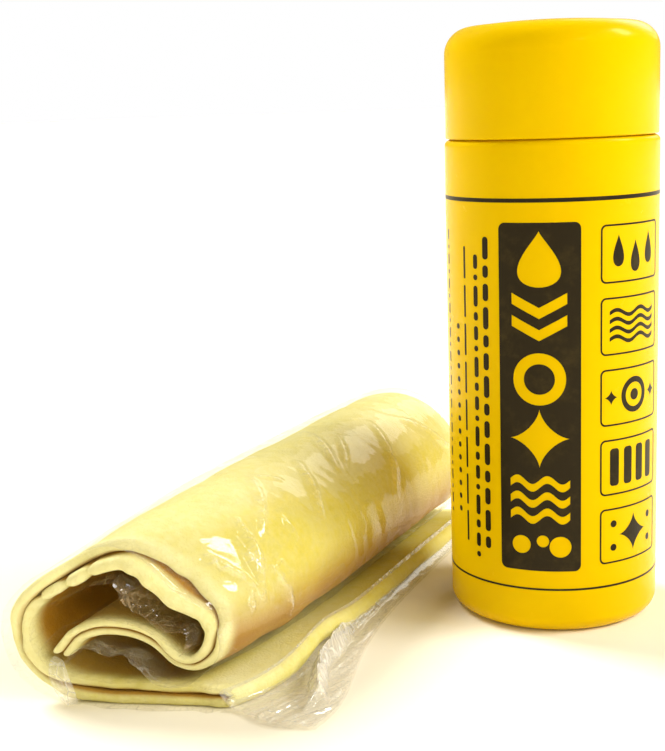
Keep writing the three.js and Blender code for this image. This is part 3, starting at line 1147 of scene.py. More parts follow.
@dataclass(frozen=True)
class RollForm:
    """The path of the folded packet round the roll, from the flap's fold to the inner end.

    The packet is pinched at the front and opens into a round body further back. The turns are given at both
    ends as (across, up) shares of the roll's span and rise.
    """

    flap_x: float = -0.0742
    front_y: float = -0.085
    angle_deg: float = 16.0
    span: float = 0.057
    rise: float = 0.0426
    rest_height: float = 0.0034
    inner_rest_height: float = 0.0111
    opening_length_nip: float = 0.009
    opening_length_far: float = 0.030
    packet_half: float = 0.0028
    length: float = 0.160
    body_along: float = 0.04
    flap_reach: float = 0.0016
    flap_reach_length: float = 0.06
    flap_recess: float = 0.0085
    flap_recess_length: float = 0.009
    flap_length: float = 0.009
    flap_lift: float = 0.0024
    front_outer_turn_shares: tuple = (
        (0, 0), (0.207, 0), (0.453, 0), (0.666, 0.0), (0.874, 0.03), (0.997, 0.136), (1.056, 0.3),
        (1.049, 0.46), (0.961, 0.592), (0.83, 0.69), (0.695, 0.779), (0.575, 0.81), (0.47, 0.746),
        (0.393, 0.643), (0.312, 0.559), (0.225, 0.493), (0.179, 0.394), (0.19, 0.272),
    )
    front_inner_turn_shares: tuple = (
        (0.27, 0), (0.34, 0.02), (0.393, 0.1), (0.446, 0.186), (0.52, 0.236), (0.618, 0.256),
        (0.722, 0.238), (0.82, 0.163), (0.884, 0.035),
    )
    rear_outer_turn_shares: tuple = (
        (0, 0), (0.207, 0), (0.4, 0.003), (0.558, 0.026), (0.695, 0.106), (0.796, 0.237),
        (0.849, 0.411), (0.846, 0.594), (0.786, 0.763), (0.684, 0.9), (0.554, 0.979), (0.418, 0.998),
        (0.288, 0.941), (0.179, 0.829), (0.1, 0.674), (0.06, 0.509), (0.063, 0.335), (0.126, 0.21),
    )
    rear_inner_turn_shares: tuple = (
        (0.235, 0), (0.305, 0.012), (0.375, 0.038), (0.441, 0.098), (0.49, 0.17), (0.525, 0.265),
        (0.543, 0.37), (0.541, 0.465), (0.516, 0.545),
    )

    def controls(self, outer_shares: tuple, inner_shares: tuple) -> Array:
        """Gives the control points (x, z) of one end section from the shares of its two turns.

        Args:
            outer_shares: The outer turn's shares.
            inner_shares: The inner turn's shares.

        Returns:
            The points, from the flap's fold to the inner end.
        """
        turns = []
        for shares, base in ((outer_shares, self.rest_height), (inner_shares, self.inner_rest_height)):
            across, up = np.array(shares, float).T
            height = base + up * (self.rest_height + self.rise - base)
            turns.append(np.stack([self.flap_x - across * self.span, height], -1))
        return np.vstack(turns)

    def sections(self, along: Array) -> Array:
        """Gives the control points along the roll: front + (rear - front) * (1 - exp(-distance / length)).

        Args:
            along: Distances along the roll.

        Returns:
            The points, one set for each distance.
        """
        front = self.controls(self.front_outer_turn_shares, self.front_inner_turn_shares)
        rear = self.controls(self.rear_outer_turn_shares, self.rear_inner_turn_shares)
        nip = np.clip(1.0 - (self.flap_x - front[:, 0]) / self.span, 0.0, 1.0)
        length = self.opening_length_far + (self.opening_length_nip - self.opening_length_far) * nip
        share = 1.0 - np.exp(-np.clip(along, 0.0, self.length)[:, None] / length)
        return front + share[..., None] * (rear - front)

    def middle(self, along: Array, places: Array) -> tuple[Array, Array]:
        """Gives the packet's middle line, a centripetal Catmull-Rom curve through each section's points.

        Args:
            along: Distances along the roll, one a row.
            places: Where on the curve, from 0 at the flap's fold to 1 at the inner end, one a column.

        Returns:
            The points (x, z) and the unit normals that face the inside of the roll.
        """
        points = self.sections(along)
        before = 2 * points[:, :1] - points[:, 1:2]
        after = 2 * points[:, -1:] - points[:, -2:-1]
        padded = np.concatenate([before, points, after], axis=1)
        steps = np.linalg.norm(np.diff(padded, axis=1), axis=-1)[..., None] ** 0.5
        spot = np.clip(places, 0.0, 1.0) * (points.shape[1] - 1)
        index = np.minimum(spot.astype(int), points.shape[1] - 2)
        rest = (spot - index)[None, :, None]
        p0, p1, p2, p3 = (padded[:, index + k] for k in range(4))
        d0, d1, d2 = (steps[:, index + k] for k in range(3))
        slope_in = ((p1 - p0) / d0 - (p2 - p0) / (d0 + d1) + (p2 - p1) / d1) * d1
        slope_out = ((p2 - p1) / d1 - (p3 - p1) / (d1 + d2) + (p3 - p2) / d2) * d1
        square = -3 * p1 + 3 * p2 - 2 * slope_in - slope_out
        cube = 2 * p1 - 2 * p2 + slope_in + slope_out
        place = p1 + slope_in * rest + square * rest**2 + cube * rest**3
        tangent = slope_in + 2 * square * rest + 3 * cube * rest**2
        tangent /= np.linalg.norm(tangent, axis=-1, keepdims=True)
        normal = np.stack([tangent[..., 1], -tangent[..., 0]], -1)
        return place, normal

    def even_places(self, count: int) -> tuple[Array, Array]:
        """Gives places on the curve, even round the roll's body, and their distances from the fold.

        Args:
            count: How many places.

        Returns:
            The places from 0 to 1, and the distances.
        """
        fine = np.linspace(0.0, 1.0, 1200)
        line = self.middle(np.array([self.body_along]), fine)[0][0]
        travelled = np.concatenate([[0.0], np.cumsum(np.linalg.norm(np.diff(line, axis=0), axis=1))])
        around = np.linspace(0.0, travelled[-1], count)
        return np.interp(around, travelled, fine), around

    @staticmethod
    def on_floor(around: Array) -> Array:
        """Gives 1 where the packet lies on the floor under the roll, and 0 from where it turns up."""
        return step_down(around, 0.03, 0.045)

    def drawn_in(self, along: Array) -> Array:
        """Gives how far the flap's fold is drawn in at its front corner."""
        return self.flap_recess * fade(along, self.flap_recess_length)

    def fold_shift(self, around: Array, along: Array) -> tuple[Array, Array]:
        """Gives how far the flap's end is out of line.

        Its front corner is drawn in, and its edge lifts further back. Both fade out round the roll.

        Args:
            around: Distance round the roll from the flap's fold.
            along: Distance along the roll.

        Returns:
            The shift outwards and the shift up.
        """
        near = fade(around, self.flap_length) * step_down(around, 0.02, 0.036)
        out = self.flap_reach * fade(along, self.flap_reach_length) - self.drawn_in(along)
        return out * near, self.flap_lift * bell(along, 0.040, 0.015) * near

    def thickness_share(self, around: Array, along: Array) -> Array:
        """Gives the packet's thickness as a share: puffed at the front's peak, pressed at both ends.

        Args:
            around: Distance round the roll from the flap's fold.
            along: Distance along the roll.

        Returns:
            The share, 1 where nothing changes it.
        """
        puff = 0.2 * bell(around, 0.094, 0.016) * fade(along, 0.014)
        left = 0.1 * bell(around, 0.064, 0.012) * fade(along, 0.012)
        inner = 0.26 * smooth_step(around, 0.136, 0.152) * fade(along, 0.04)
        flap = 0.3 * fade(around, self.flap_length) * fade(along, 0.012)
        return 1.0 + puff - left - inner - flap

    def dent(self, around: Array, along: Array) -> Array:
        """Gives how deep the packet's outside is pressed in: two slanted soft valleys and unevenness.

        Args:
            around: Distance round the roll from the flap's fold.
            along: Distance along the roll.

        Returns:
            The depth.
        """
        slant = (around - 0.1145) - 0.45 * (along - 0.046)
        valley = 0.0011 * bell(slant, 0.0, 0.0042) * bell(along, 0.046, 0.020)
        rear_slant = (around - 0.112) + 0.3 * (along - 0.088)
        rear_valley = 0.0007 * bell(rear_slant, 0.0, 0.006) * bell(along, 0.088, 0.02)
        uneven = 0.00035 * (1.0 + ripples(around, along, 0.024, 61)) * np.clip(along / 0.02, 0.0, 1.0)
        return valley + rear_valley + np.clip(uneven, 0.0, None)

    def carried(self, section: Array, along: Array) -> Array:
        """Gives the points of the frame for section points (x, z) at distances along the roll.

        Args:
            section: The section points.
            along: Distance along the roll.

        Returns:
            The points (x, y, z).
        """
        turn = math.radians(self.angle_deg)
        x = section[..., 0] + along * math.sin(turn)
        y = self.front_y + along * math.cos(turn)
        return np.stack([x, y, section[..., 1]], -1)


@dataclass
class PacketTable:
    """Middle points and normals of the packet at fixed rows along the roll, read between the rows."""

    form: RollForm
    places: Array
    around: Array
    first_step: float = 0.0004
    row_steps: int = 110
    rows: Array = field(init=False)
    values: Array = field(init=False)

    def __post_init__(self) -> None:
        """Works out the table at rows that lie closest at the front."""
        self.rows = eased_stops(self.form.length, self.first_step, self.row_steps)
        place, normal = self.form.middle(self.rows, self.places)
        self.values = np.concatenate([place, normal], -1)

    def read(self, along: Array) -> tuple[Array, Array]:
        """Gives middle points and normals at distances along the roll, with one column a place.

        Args:
            along: Distances, a row of them for each set of places.

        Returns:
            The points (x, z), with the flap's end shifted, and the unit normals.
        """
        clipped = np.clip(along, 0.0, self.form.length)
        high = np.clip(np.searchsorted(self.rows, clipped), 1, len(self.rows) - 1)
        share = ((clipped - self.rows[high - 1]) / (self.rows[high] - self.rows[high - 1]))[..., None]
        column = np.arange(len(self.places))[None, :]
        value = (1.0 - share) * self.values[high - 1, column] + share * self.values[high, column]
        place, normal = value[..., :2].copy(), value[..., 2:]
        around = self.around[None, :]
        out, up = self.form.fold_shift(around, along)
        place[..., 0] += out
        pressed = np.clip(1.0 - self.form.thickness_share(around, along), 0.0, None)
        place[..., 1] += up - pressed * self.form.packet_half * self.form.on_floor(around)
        return place, normal


@dataclass
class FoldedCloth:
    """The sheet folded in half each way: two leaves of two layers, each with a soft folded lip in front."""

    form: RollForm
    finish: bpy.types.Material
    leaf: float = 0.0026
    leaf_gap: float = 0.0004
    layer_gap: float = 0.0001
    outer_leaf_setback: float = 0.0034
    low_lip_reach: float = 0.0004
    low_lip_drop: float = 0.0004
    lip_length: float = 0.0035
    root_gap: float = 0.0002
    floor_gap: float = 0.0002
    tuck_places: tuple = (0.0735, 0.0815, 0.0885)
    sharp_deg: float = 50.0
    stations: int = 210
    fold_steps: int = 14
    run_stops: int = 48
    lip_steps: int = 10
    first_step: float = 0.0005
    flat_width: float = 0.43
    flat_length: float = 0.32

    def route(self) -> tuple[Array, Array, Array]:
        """Gives the leaf's way: inner end of the outer leaf, out to the flap, round its fold and back inside.

        Returns:
            The place on the packet's middle line, the turn about it from pi outside to 0 inside, and the
            distance round the cloth, at each station.
        """
        places, around = self.form.even_places(self.stations)
        fold = np.linspace(math.pi, 0.0, self.fold_steps + 1)[1:-1]
        zero = np.zeros(len(fold))
        way = np.concatenate([places[::-1], zero, places])
        turn = np.concatenate([np.full(self.stations, math.pi), fold, np.zeros(self.stations)])
        distance = np.concatenate([around[::-1], zero, around])
        return way, turn, distance

    def outline(self, gap: bool) -> tuple[Array, Array]:
        """Gives a leaf's outline across its thickness: from the rear under it, round the lip and back.

        Args:
            gap: True for the thin gap between the two layers, False for the leaf's outside.

        Returns:
            Distances from the leaf's front root and heights off the leaf's middle.
        """
        half = self.layer_gap / 2.0 if gap else self.leaf / 2.0
        stops = eased_stops(self.form.length - self.leaf / 2.0, self.first_step, self.run_stops)
        angles = np.pi * np.arange(1, self.lip_steps) / self.lip_steps
        flat = np.full(len(stops), half)
        distance = np.concatenate([stops[::-1], -half * np.sin(angles), stops])
        height = np.concatenate([-flat, -half * np.cos(angles), flat])
        return distance, height

    def build(self) -> list[bpy.types.Object]:
        """Builds the sheet as one closed body: each leaf's outline is carried along its way.

        Returns:
            The one piece.
        """
        way, turn, around = self.route()
        table = PacketTable(self.form, way, around)
        outside, outside_looks = self.surface(table, turn, *self.outline(False))
        inside, inside_looks = self.surface(table, turn, *self.outline(True))
        rows, half = outside.shape[:2]
        ring = np.concatenate([outside, inside[:, ::-1]], axis=1)
        step = np.arange(half - 1)
        pairs = np.stack([step, step + 1, 2 * half - 2 - step, 2 * half - 1 - step], -1)
        last_row = (rows - 1) * 2 * half
        faces = [grid_faces(rows, 2 * half, closed_columns=True), pairs[:, ::-1], pairs + last_row]
        piece = make_piece("folded_cloth", ring.reshape(-1, 3), np.vstack(faces), self.finish)
        piece.data.set_sharp_from_angle(angle=math.radians(self.sharp_deg))
        for name, values in outside_looks.items():
            set_attribute(piece, name, np.concatenate([values, inside_looks[name][:, ::-1]], axis=1))
        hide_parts("chamois_cloth")
        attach(piece, Body.BUNDLE.value)
        return [piece]

    def surface(self, table: PacketTable, turn: Array, distance: Array, height: Array) -> tuple[Array, dict]:
        """Gives points of the leaf: middle line + turned normal * thickness share * (leaf offset + height).

        Args:
            table: The packet's middle line.
            turn: The turn about it at each station, from pi outside to 0 inside.
            distance: Distances of the outline from the leaf's front root.
            height: Its heights off the leaf's middle.

        Returns:
            The points, and at each one its painted shade and its share of paleness from rubbing and painted
            light, from 0 to 1.
        """
        around, outer = table.around[:, None], turn[:, None] / math.pi
        front = fade(distance, self.lip_length)[None, :]
        root = self.lip_root(around, outer)
        along = root + distance[None, :] + self.lip_lumps(around, outer) * front
        along = np.clip(along, 0.0, self.form.length)
        fat = 1.0 + self.lip_fatness(around, outer) * front
        share = self.form.thickness_share(around, along)
        off = share * ((self.leaf + self.leaf_gap) / 2.0 + height[None, :] * fat)
        pressed = outer * self.form.dent(around, along)
        place, normal = (part.transpose(1, 0, 2) for part in table.read(along.T))
        tangent = np.stack([-normal[..., 1], normal[..., 0]], -1)
        face = np.cos(turn)[:, None, None] * normal - np.sin(turn)[:, None, None] * tangent
        section = place + face * (off - pressed)[..., None]
        section[..., 1] -= self.low_lip_drop * outer * self.form.on_floor(around) * fade(along, 0.02)
        section[..., 1] = np.maximum(section[..., 1], self.floor_gap)
        return self.form.carried(section, along), self.looks(around, outer, along, height[None, :])

    def looks(self, around: Array, outer: Array, along: Array, height: Array) -> dict:
        """Gives the leaf's painted shade at each point and its share of paleness from rubbing and painted
        light, from 0 to 1.

        Args:
            around: Distances round the roll, one a row.
            outer: 1 on the outer leaf and 0 on the inner one, one a row.
            along: Distances along the roll.
            height: Heights off the leaf's middle, one a column.

        Returns:
            The two looks by name: the painted shade, and the paleness from rubbing and painted light.
        """
        on_floor = self.form.on_floor(around)
        covered, root = self.lip_root(around, 1.0), self.lip_root(around, outer)
        facing_in = smooth_step(-height / (self.leaf / 2.0), 0.3, 0.9)
        # Painted shade in the crevice between the leaves, on the faces that look inward, lighter at the left
        # tucks.
        crevice_painted_shade = (1.0 - 0.6 * bell(around, 0.064, 0.016)) * facing_in
        crevice_painted_shade = crevice_painted_shade * smooth_step(along - covered, -0.0012, -0.0002)
        at_rear = smooth_step(along, self.form.length - 0.012, self.form.length - 0.003)
        # Painted shade of the roll's inside and of the crevices, taken away at the rear end.
        hollow = np.clip(self.hollow(around, outer, along) + 0.9 * crevice_painted_shade, 0.0, 1.0) * (1.0 - at_rear)
        # Paleness: the lips are partly worn by rubbing and partly painted light, less on the lips on the
        # floor, in painted shade. The flap, the crown and the outer front are painted light, and the flap's
        # painted light fades out towards the nip. The rear end is paler too.
        lip = (1.0 - 0.55 * on_floor) * fade(along - root, 0.0045)
        flap = (1.0 - outer) * step_down(around, 0.006, 0.014) * fade(along, 0.045)
        crown = 0.6 * outer * step_down(around, 0.104, 0.122)
        front = 0.8 * outer * (1.0 - on_floor) * fade(along, 0.016)
        rubbed = np.maximum(np.maximum(lip + flap, 0.7 * at_rear), np.maximum(crown, front))
        return {"hollow": hollow, "rubbed": np.clip(rubbed, 0.0, 1.0)}

    def setback(self, around: Array) -> Array:
        """Gives how far the outer leaf's lip stands behind the inner one's: little below, more above."""
        above = smooth_step(around, 0.072, 0.091) * (1.0 - 0.8 * smooth_step(around, 0.130, 0.143))
        return self.outer_leaf_setback * above - self.low_lip_reach * self.form.on_floor(around)

    def lip_root(self, around: Array, outer: Any) -> Array:
        """Gives where a leaf's lip begins: half the leaf + outer * setback + root gap along the roll."""
        return self.leaf / 2.0 + outer * self.setback(around) + self.root_gap

    @staticmethod
    def hollow(around: Array, outer: Array, along: Array) -> Array:
        """Gives the painted shade of the roll's inside, from 0 to 1: deep at the upper left, golden on the
        arch.

        Args:
            around: Distance round the roll from the flap's fold.
            outer: 1 on the outer leaf and 0 on the inner one.
            along: Distance along the roll.

        Returns:
            The painted shade.
        """
        wall = smooth_step(around, 0.014, 0.021) * (0.75 + 0.25 * smooth_step(around, 0.045, 0.06))
        arch = 0.25 * smooth_step(around, 0.128, 0.145)
        under_arch = outer * smooth_step(around, 0.128, 0.142)
        return ((1.0 - outer) * (wall - arch) + under_arch) * smooth_step(along, 0.0018, 0.0060)

    def tucks(self, around: Array, outer: Array, width: float) -> Array:
        """Gives 1 in the inner leaf's tucks and 0 away from them."""
        return sum(bell(around, middle, width) for middle in self.tuck_places) * (1.0 - outer)

    def lip_lumps(self, around: Array, outer: Array) -> Array:
        """Gives how far the lip stands back round the roll: soft lobes, and three tucks at the upper left.

        Args:
            around: Distance round the roll from the flap's fold.
            outer: 1 on the outer leaf and 0 on the inner one.

        Returns:
            The distance back along the roll.
        """
        small = 0.0002 * ripples(around, 9.0 * outer, 0.008, 5)
        broad = 0.0004 * ripples(around, 5.0 * outer, 0.022, 6)
        return np.clip(small + broad, -0.0006, None) + 0.0011 * self.tucks(around, outer, 0.0011) + 0.0005

    def lip_fatness(self, around: Array, outer: Array) -> Array:
        """Gives how much thicker the lip is than the pressed leaf, as a share that varies in lobes.

        Args:
            around: Distance round the roll from the flap's fold.
            outer: 1 on the outer leaf and 0 on the inner one.

        Returns:
            The share that is added.
        """
        low = 0.16 * outer * self.form.on_floor(around)
        lobes = 0.07 * ripples(around, 7.0 * outer, 0.010, 8)
        return 0.1 + low + lobes - 0.45 * self.tucks(around, outer, 0.0012)


@dataclass
class FilmBag:
    """Clear film sleeve round the packet: rolled with it, loose in front, with a crumpled side margin."""

    form: RollForm
    finish: bpy.types.Material
    inner_painted_shade_finish: bpy.types.Material
    crushed_finish: bpy.types.Material
    milky_finish: bpy.types.Material
    clearance: float = 0.00045
    seal_gap: float = 0.00005
    rear_margin: float = 0.010
    stations: int = 360
    first_step: float = 0.00035
    run_stops: int = 200
    mouth_stops: int = 14
    mouth: float = 0.0024
    mouth_length: float = 0.0022
    floor_gap: float = 0.00012
    margin_stations: int = 120
    margin_width: float = 0.028
    margin_rear_width: float = 0.0045
    margin_taper: float = 0.034
    margin_crumple: float = 0.35
    corner_reach: float = 0.0085
    ridge_reach: float = 0.0142
    ridge_height: float = 0.0062
    ridge_taper: float = 0.034
    inside_offset: float = 0.4
    under_offset: float = 0.6
    over_offset: float = 0.8
    free_corner_offset: float = 1.0
    free_corner_length: float = 0.006
    free_corner_half: float = 0.0014

    def rows(self, mouth: Array) -> Array:
        """Gives distances along the roll, from the mouth's edge in front of the cloth to the rear seal.

        Args:
            mouth: How far the film reaches in front of the cloth, one a column.

        Returns:
            The distances, a column for each place round the roll.
        """
        ahead = np.linspace(1.0, 0.0, self.mouth_stops, endpoint=False)
        body = eased_stops(self.form.length + self.rear_margin, self.first_step, self.run_stops)
        return np.concatenate([-ahead[:, None] * mouth[None, :], np.repeat(body[:, None], len(mouth), 1)])

    def sleeve(self, side: float, around: Array, along: Array, table: PacketTable) -> tuple[Array, Array]:
        """Gives one wall of the sleeve: middle line + side * normal * (half packet + clearance + slack).

        Args:
            side: -1 for the roll's outside, 1 for its inside.
            around: Distances round the roll, one a column.
            along: Distances along it.
            table: The packet's middle line.

        Returns:
            The section points and how crumpled the film is at each.
        """
        place, normal = table.read(along)
        column = around[None, :]
        slack, crumple = (self.outer_slack if side < 0.0 else self.inner_slack)(column, along)
        closing = np.clip((self.form.length + self.rear_margin - along) / self.rear_margin, 0.0, 1.0) ** 0.6
        half = self.form.packet_half * self.form.thickness_share(column, along) + self.clearance
        section = place + side * normal * ((half + slack) * closing + self.seal_gap)[..., None]
        section[..., 1] = np.maximum(section[..., 1], self.floor_gap)
        return section, crumple

    def film(self, name: str, finish: bpy.types.Material, points: Array, *looks: Array) -> bpy.types.Object:
        """Makes one piece of film.

        Args:
            name: The piece's name.
            finish: Its finish.
            points: A grid of its points.
            looks: Its surface coordinates across and along the roll, and how crumpled it is. Each piece has
                its own stretch of the first.

        Returns:
            The piece, as a part of the bag.
        """
        across, along, crumple = looks
        piece = make_piece(name, points.reshape(-1, 3), grid_faces(*points.shape[:2]), finish)
        set_uv(piece, np.stack(np.broadcast_arrays(across, along), -1).reshape(-1, 2))
        set_attribute(piece, "crumple", crumple)
        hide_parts("clear_bag")
        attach(piece, Body.BUNDLE.value)
        return piece

    def rolled_film(
        self, name: str, finish: bpy.types.Material, parts: tuple, flipped: bool = False
    ) -> bpy.types.Object:
        """Makes a piece of film that follows the roll.

        Args:
            name: The piece's name.
            finish: Its finish.
            parts: Its section points, distances along the roll, surface coordinate across it and crumple.
            flipped: True where its columns run the other way, so that its faces look out.

        Returns:
            The piece.
        """
        section, along, across, crumple = (part[:, ::-1] if flipped else part for part in parts)
        points = self.form.carried(section, along)
        return self.film(name, finish, points, across, along, np.clip(crumple, 0.0, 1.0))

    def build(self) -> list[bpy.types.Object]:
        """Builds the film as the sleeve's two walls, its side margin and the free corner at the inner end.

        Returns:
            The five pieces.
        """
        places, around = self.form.even_places(self.stations)
        table = PacketTable(self.form, places, around)
        outer_along = self.rows(self.mouth_reach(around, 43))
        inner_along = self.rows(self.mouth_reach(around, 44))
        outer, outer_crumple = self.sleeve(-1.0, around, outer_along, table)
        inner, inner_crumple = self.sleeve(1.0, around, inner_along, table)
        outer_parts = (outer, outer_along, around[None, :], outer_crumple)
        inner_parts = (inner, inner_along, self.inside_offset - around[None, :], inner_crumple)
        return [
            self.rolled_film("film_outside", self.finish, outer_parts),
            self.rolled_film("film_inside", self.inner_painted_shade_finish, inner_parts, flipped=True),
            *self.margin(outer[:, 0], inner[:, 0]),
            self.free_corner(),
        ]

    def mouth_reach(self, around: Array, seed: int) -> Array:
        """Gives how far the film reaches in front of the cloth, in shallow waves."""
        tight = plateau(around, (0.03, 0.042), (0.088, 0.1))
        return self.mouth * (1.0 - 0.85 * tight) * (1.0 + 0.45 * ripples(around, 0.0, 0.012, seed))

    def at_mouth(self, along: Array) -> Array:
        """Gives 1 at the film's front edge, fading out behind it."""
        return fade(along + self.mouth, self.mouth_length)

    def margin(self, under_end: Array, over_end: Array) -> list[bpy.types.Object]:
        """Builds the side margin: a lower film on the floor and an upper film pinched into a standing ridge.

        Args:
            under_end: Where the outer wall starts at the flap, a point (x, z) a row.
            over_end: Where the inner wall starts, in the same rows.

        Returns:
            The two pieces.
        """
        share = np.linspace(0.0, 1.0, self.margin_stations) ** 1.25
        body = self.rows(np.full(self.margin_stations, self.mouth))
        wider = self.margin_width - self.margin_rear_width
        out = share[None, :] * (self.margin_rear_width + wider * fade(body, self.margin_taper))
        along = body - self.corner_reach * smooth_step(out, 0.001, 0.020) * fade(body, 0.012)
        x = under_end[:, :1] + out
        streaks = creased(out * 1.6, along * 0.5, 0.0045, 31)
        low = self.floor_gap + 0.0005 * streaks * smooth_step(out, 0.002, 0.01)
        ridge, crumple = self.ridge(out, along)
        fall = fade(out, 0.0022)
        sheet = 0.0003 + 0.0012 * streaks * smooth_step(out, 0.002, 0.012)
        high = low + (over_end[:, 1:] - low) * fall + sheet * (1.0 - fall) + ridge * (1.0 - 0.6 * fall)
        under = np.stack([x, low + (under_end[:, 1:] - low) * fade(out, 0.0006)], -1)
        over = np.stack([x, high], -1)
        over[:, 0] = over_end
        under[:, 0] = under_end
        haze = np.full(out.shape, self.margin_crumple)
        under_parts = (under, along, self.under_offset + out, haze)
        over_parts = (over, along, self.over_offset + out, np.maximum(crumple, haze))
        return [
            self.rolled_film("film_margin_under", self.finish, under_parts, flipped=True),
            self.rolled_film("film_margin_over", self.crushed_finish, over_parts),
        ]

    def ridge(self, out: Array, along: Array) -> tuple[Array, Array]:
        """Gives the height of the pinched ridge beside the flap, and how crumpled the film is there.

        The crest runs at ridge_reach * exp(-along / ridge_taper) from the flap. Fine folds run along it.

        Args:
            out: Distance out from the flap.
            along: Distance along the roll.

        Returns:
            The height and the crumple.
        """
        crest = self.ridge_reach * fade(along, self.ridge_taper) + self.form.drawn_in(along)
        crest = crest + 0.0005 * ripples(along, 0.0, 0.02, 51)
        off = out - crest
        lean = np.where(off < 0.0, 0.0030, 0.0022)
        body = np.clip(1.0 - np.abs(off) / lean, 0.0, None)
        stands = smooth_step(along, -0.001, 0.012) * (1.0 - 0.85 * smooth_step(along, 0.036, 0.060))
        height = self.ridge_height * stands
        folds = creased(off * 2.2, along * 0.35, 0.0013, 53, 9) - 0.6
        spikes = creased(off, along * 0.4, 0.0030, 55, 6) - 0.6
        fine = 0.0012 * folds * smooth_step(body, 0.0, 0.3) * (0.2 + 0.8 * stands)
        relief = body * height * (1.0 + 0.7 * spikes) + fine
        streak = tent_fold(out, along, (0.0190, -0.003), (0.0165, 0.007), 0.0009, 0.0030)
        crumple = 0.3 + 0.7 * smooth_step(body, 0.0, 0.35) * (0.15 + 0.85 * stands)
        return np.clip(relief, 0.0, None) + streak, crumple

    def free_corner(self) -> bpy.types.Object:
        """Builds the bag's free corner, a crumpled strip that hangs from the inner end in front of the roll.

        Its middle is a cubic Bezier curve, and its width runs across, turned by a slow twist.

        Returns:
            The piece.
        """
        spots = np.array(
            [
                [-0.1234, -0.0852, 0.0122],
                [-0.1240, -0.0870, 0.0096],
                [-0.1224, -0.0878, 0.0056],
                [-0.1200, -0.0874, 0.0008],
            ]
        )
        share = np.linspace(0.0, 1.0, 46)[:, None, None]
        across = np.linspace(-1.0, 1.0, 26)[None, :, None]
        weights = [(1 - share) ** 3, 3 * share * (1 - share) ** 2, 3 * share**2 * (1 - share), share**3]
        middle = sum(weight * spot for weight, spot in zip(weights, spots))
        twist = np.radians(-30.0 + 45.0 * share)
        width = self.free_corner_half + 0.0015 * np.sin(np.pi * share) ** 0.7
        side = np.concatenate([np.cos(twist), 0.5 * np.sin(twist), 0.35 * np.sin(3.0 * twist)], -1)
        down = share[..., 0] * self.free_corner_length
        crush = creased(across[..., 0] * self.free_corner_length, down, 0.0024, 71, 6) - 0.6
        away = np.array([0.1, -1.0, 0.25]) * (0.0006 * crush)[..., None]
        points = middle + side * across * width + away
        points[..., 2] = np.maximum(points[..., 2], self.floor_gap)
        flat = across[..., 0] * self.free_corner_half + self.free_corner_offset
        crumple = np.full(points.shape[:2], 0.8)
        return self.film("film_free_corner", self.milky_finish, points, flat, down, crumple)

    def outer_slack(self, around: Array, along: Array) -> tuple[Array, Array]:
        """Gives how far the film stands off the roll's outside, and how crumpled it is.

        Each crest has its two ends, its width and its height, and True where it is round.

        Args:
            around: Distance round the roll from the flap's fold.
            along: Distance along the roll.

        Returns:
            The slack and the crumple.
        """
        crests = (
            ((0.1140, 0.0085), (0.1335, 0.0136), 0.0020, 0.0015, True),
            ((0.1150, 0.0190), (0.1335, 0.0140), 0.0018, 0.0013, True),
            ((0.1110, 0.0245), (0.1295, 0.0155), 0.0016, 0.0013, True),
            ((0.1160, 0.0230), (0.1290, 0.0170), 0.0022, 0.0011),
            ((0.1295, 0.0115), (0.1355, 0.0085), 0.0016, 0.0012, True),
            ((0.1260, 0.0208), (0.1400, 0.0255), 0.0016, 0.0013, True),
            ((0.1260, 0.0228), (0.1385, 0.0262), 0.0011, 0.0007, True),
            ((0.1272, 0.0200), (0.1262, 0.0270), 0.0012, 0.0007, True),
            ((0.1032, 0.045), (0.1094, 0.051), 0.0016, 0.0008),
            ((0.1032, 0.045), (0.1190, 0.026), 0.0018, 0.0009),
            ((0.1062, 0.065), (0.1230, 0.050), 0.0022, 0.0010),
            ((0.0975, 0.091), (0.1150, 0.074), 0.0024, 0.0010),
            ((0.1050, 0.096), (0.1160, 0.077), 0.0018, 0.0008),
            ((0.1055, 0.117), (0.1290, 0.096), 0.0024, 0.0011),
            ((0.1080, 0.128), (0.1290, 0.150), 0.0026, 0.0011),
            ((0.1165, 0.037), (0.1240, 0.036), 0.0012, 0.0008),
        )
        folds = sum(tent_fold(around, along, *crest) for crest in crests)
        gathers = 0.4 + 1.2 * creased(around * 0.4, along * 1.4, 0.005, 25)
        web = 0.0028 * plateau(around, (0.148, 0.156), (0.170, 0.176)) * fade(along, 0.010) * gathers
        small = 0.0004 * creased(around, along, 0.016, 21)
        broad = 0.0003 * creased(around, along, 0.028, 23) * np.clip(along / 0.01, 0.0, 1.0)
        drapes = creased(0.35 * around - 0.25 * along, along, 0.009, 24)
        slack = folds + small + broad + 0.0007 * smooth_step(along, 0.02, 0.05) * drapes
        mouth = self.at_mouth(along)
        edge = 0.0009 * mouth * creased(around, along, 0.0055, 29)
        crumple = 0.08 + folds / 0.0014 + web / 0.016 + 0.6 * mouth
        return slack + web + edge, crumple

    def inner_slack(self, around: Array, along: Array) -> tuple[Array, Array]:
        """Gives how far the film stands off the roll's inside, and how crumpled it is.

        It is loose near the front and hangs from the roll's top as a curtain.

        Args:
            around: Distance round the roll from the flap's fold.
            along: Distance along the roll.

        Returns:
            The slack and the crumple.
        """
        lifted = smooth_step(around, 0.045, 0.065)
        near_front = fade(along, 0.02)
        wall = 0.0007 * lifted * near_front * creased(around, along, 0.006, 27)
        hang = plateau(around, (0.097, 0.110), (0.120, 0.131)) * fade(along, 0.022)
        fuller = 0.0011 + 0.0017 * smooth_step(around, 0.106, 0.121)
        curtain = fuller * hang * (0.5 + 0.9 * creased(around * 0.2, along * 1.7, 0.004, 63))
        mouth = self.at_mouth(along)
        edge = 0.0010 * mouth * creased(around, along, 0.005, 67) * (0.3 + 0.7 * lifted)
        slack = 0.0002 + wall + curtain + edge
        return slack, 0.06 + 0.1 * lifted * near_front + 0.3 * hang + 0.5 * mouth


# Studio


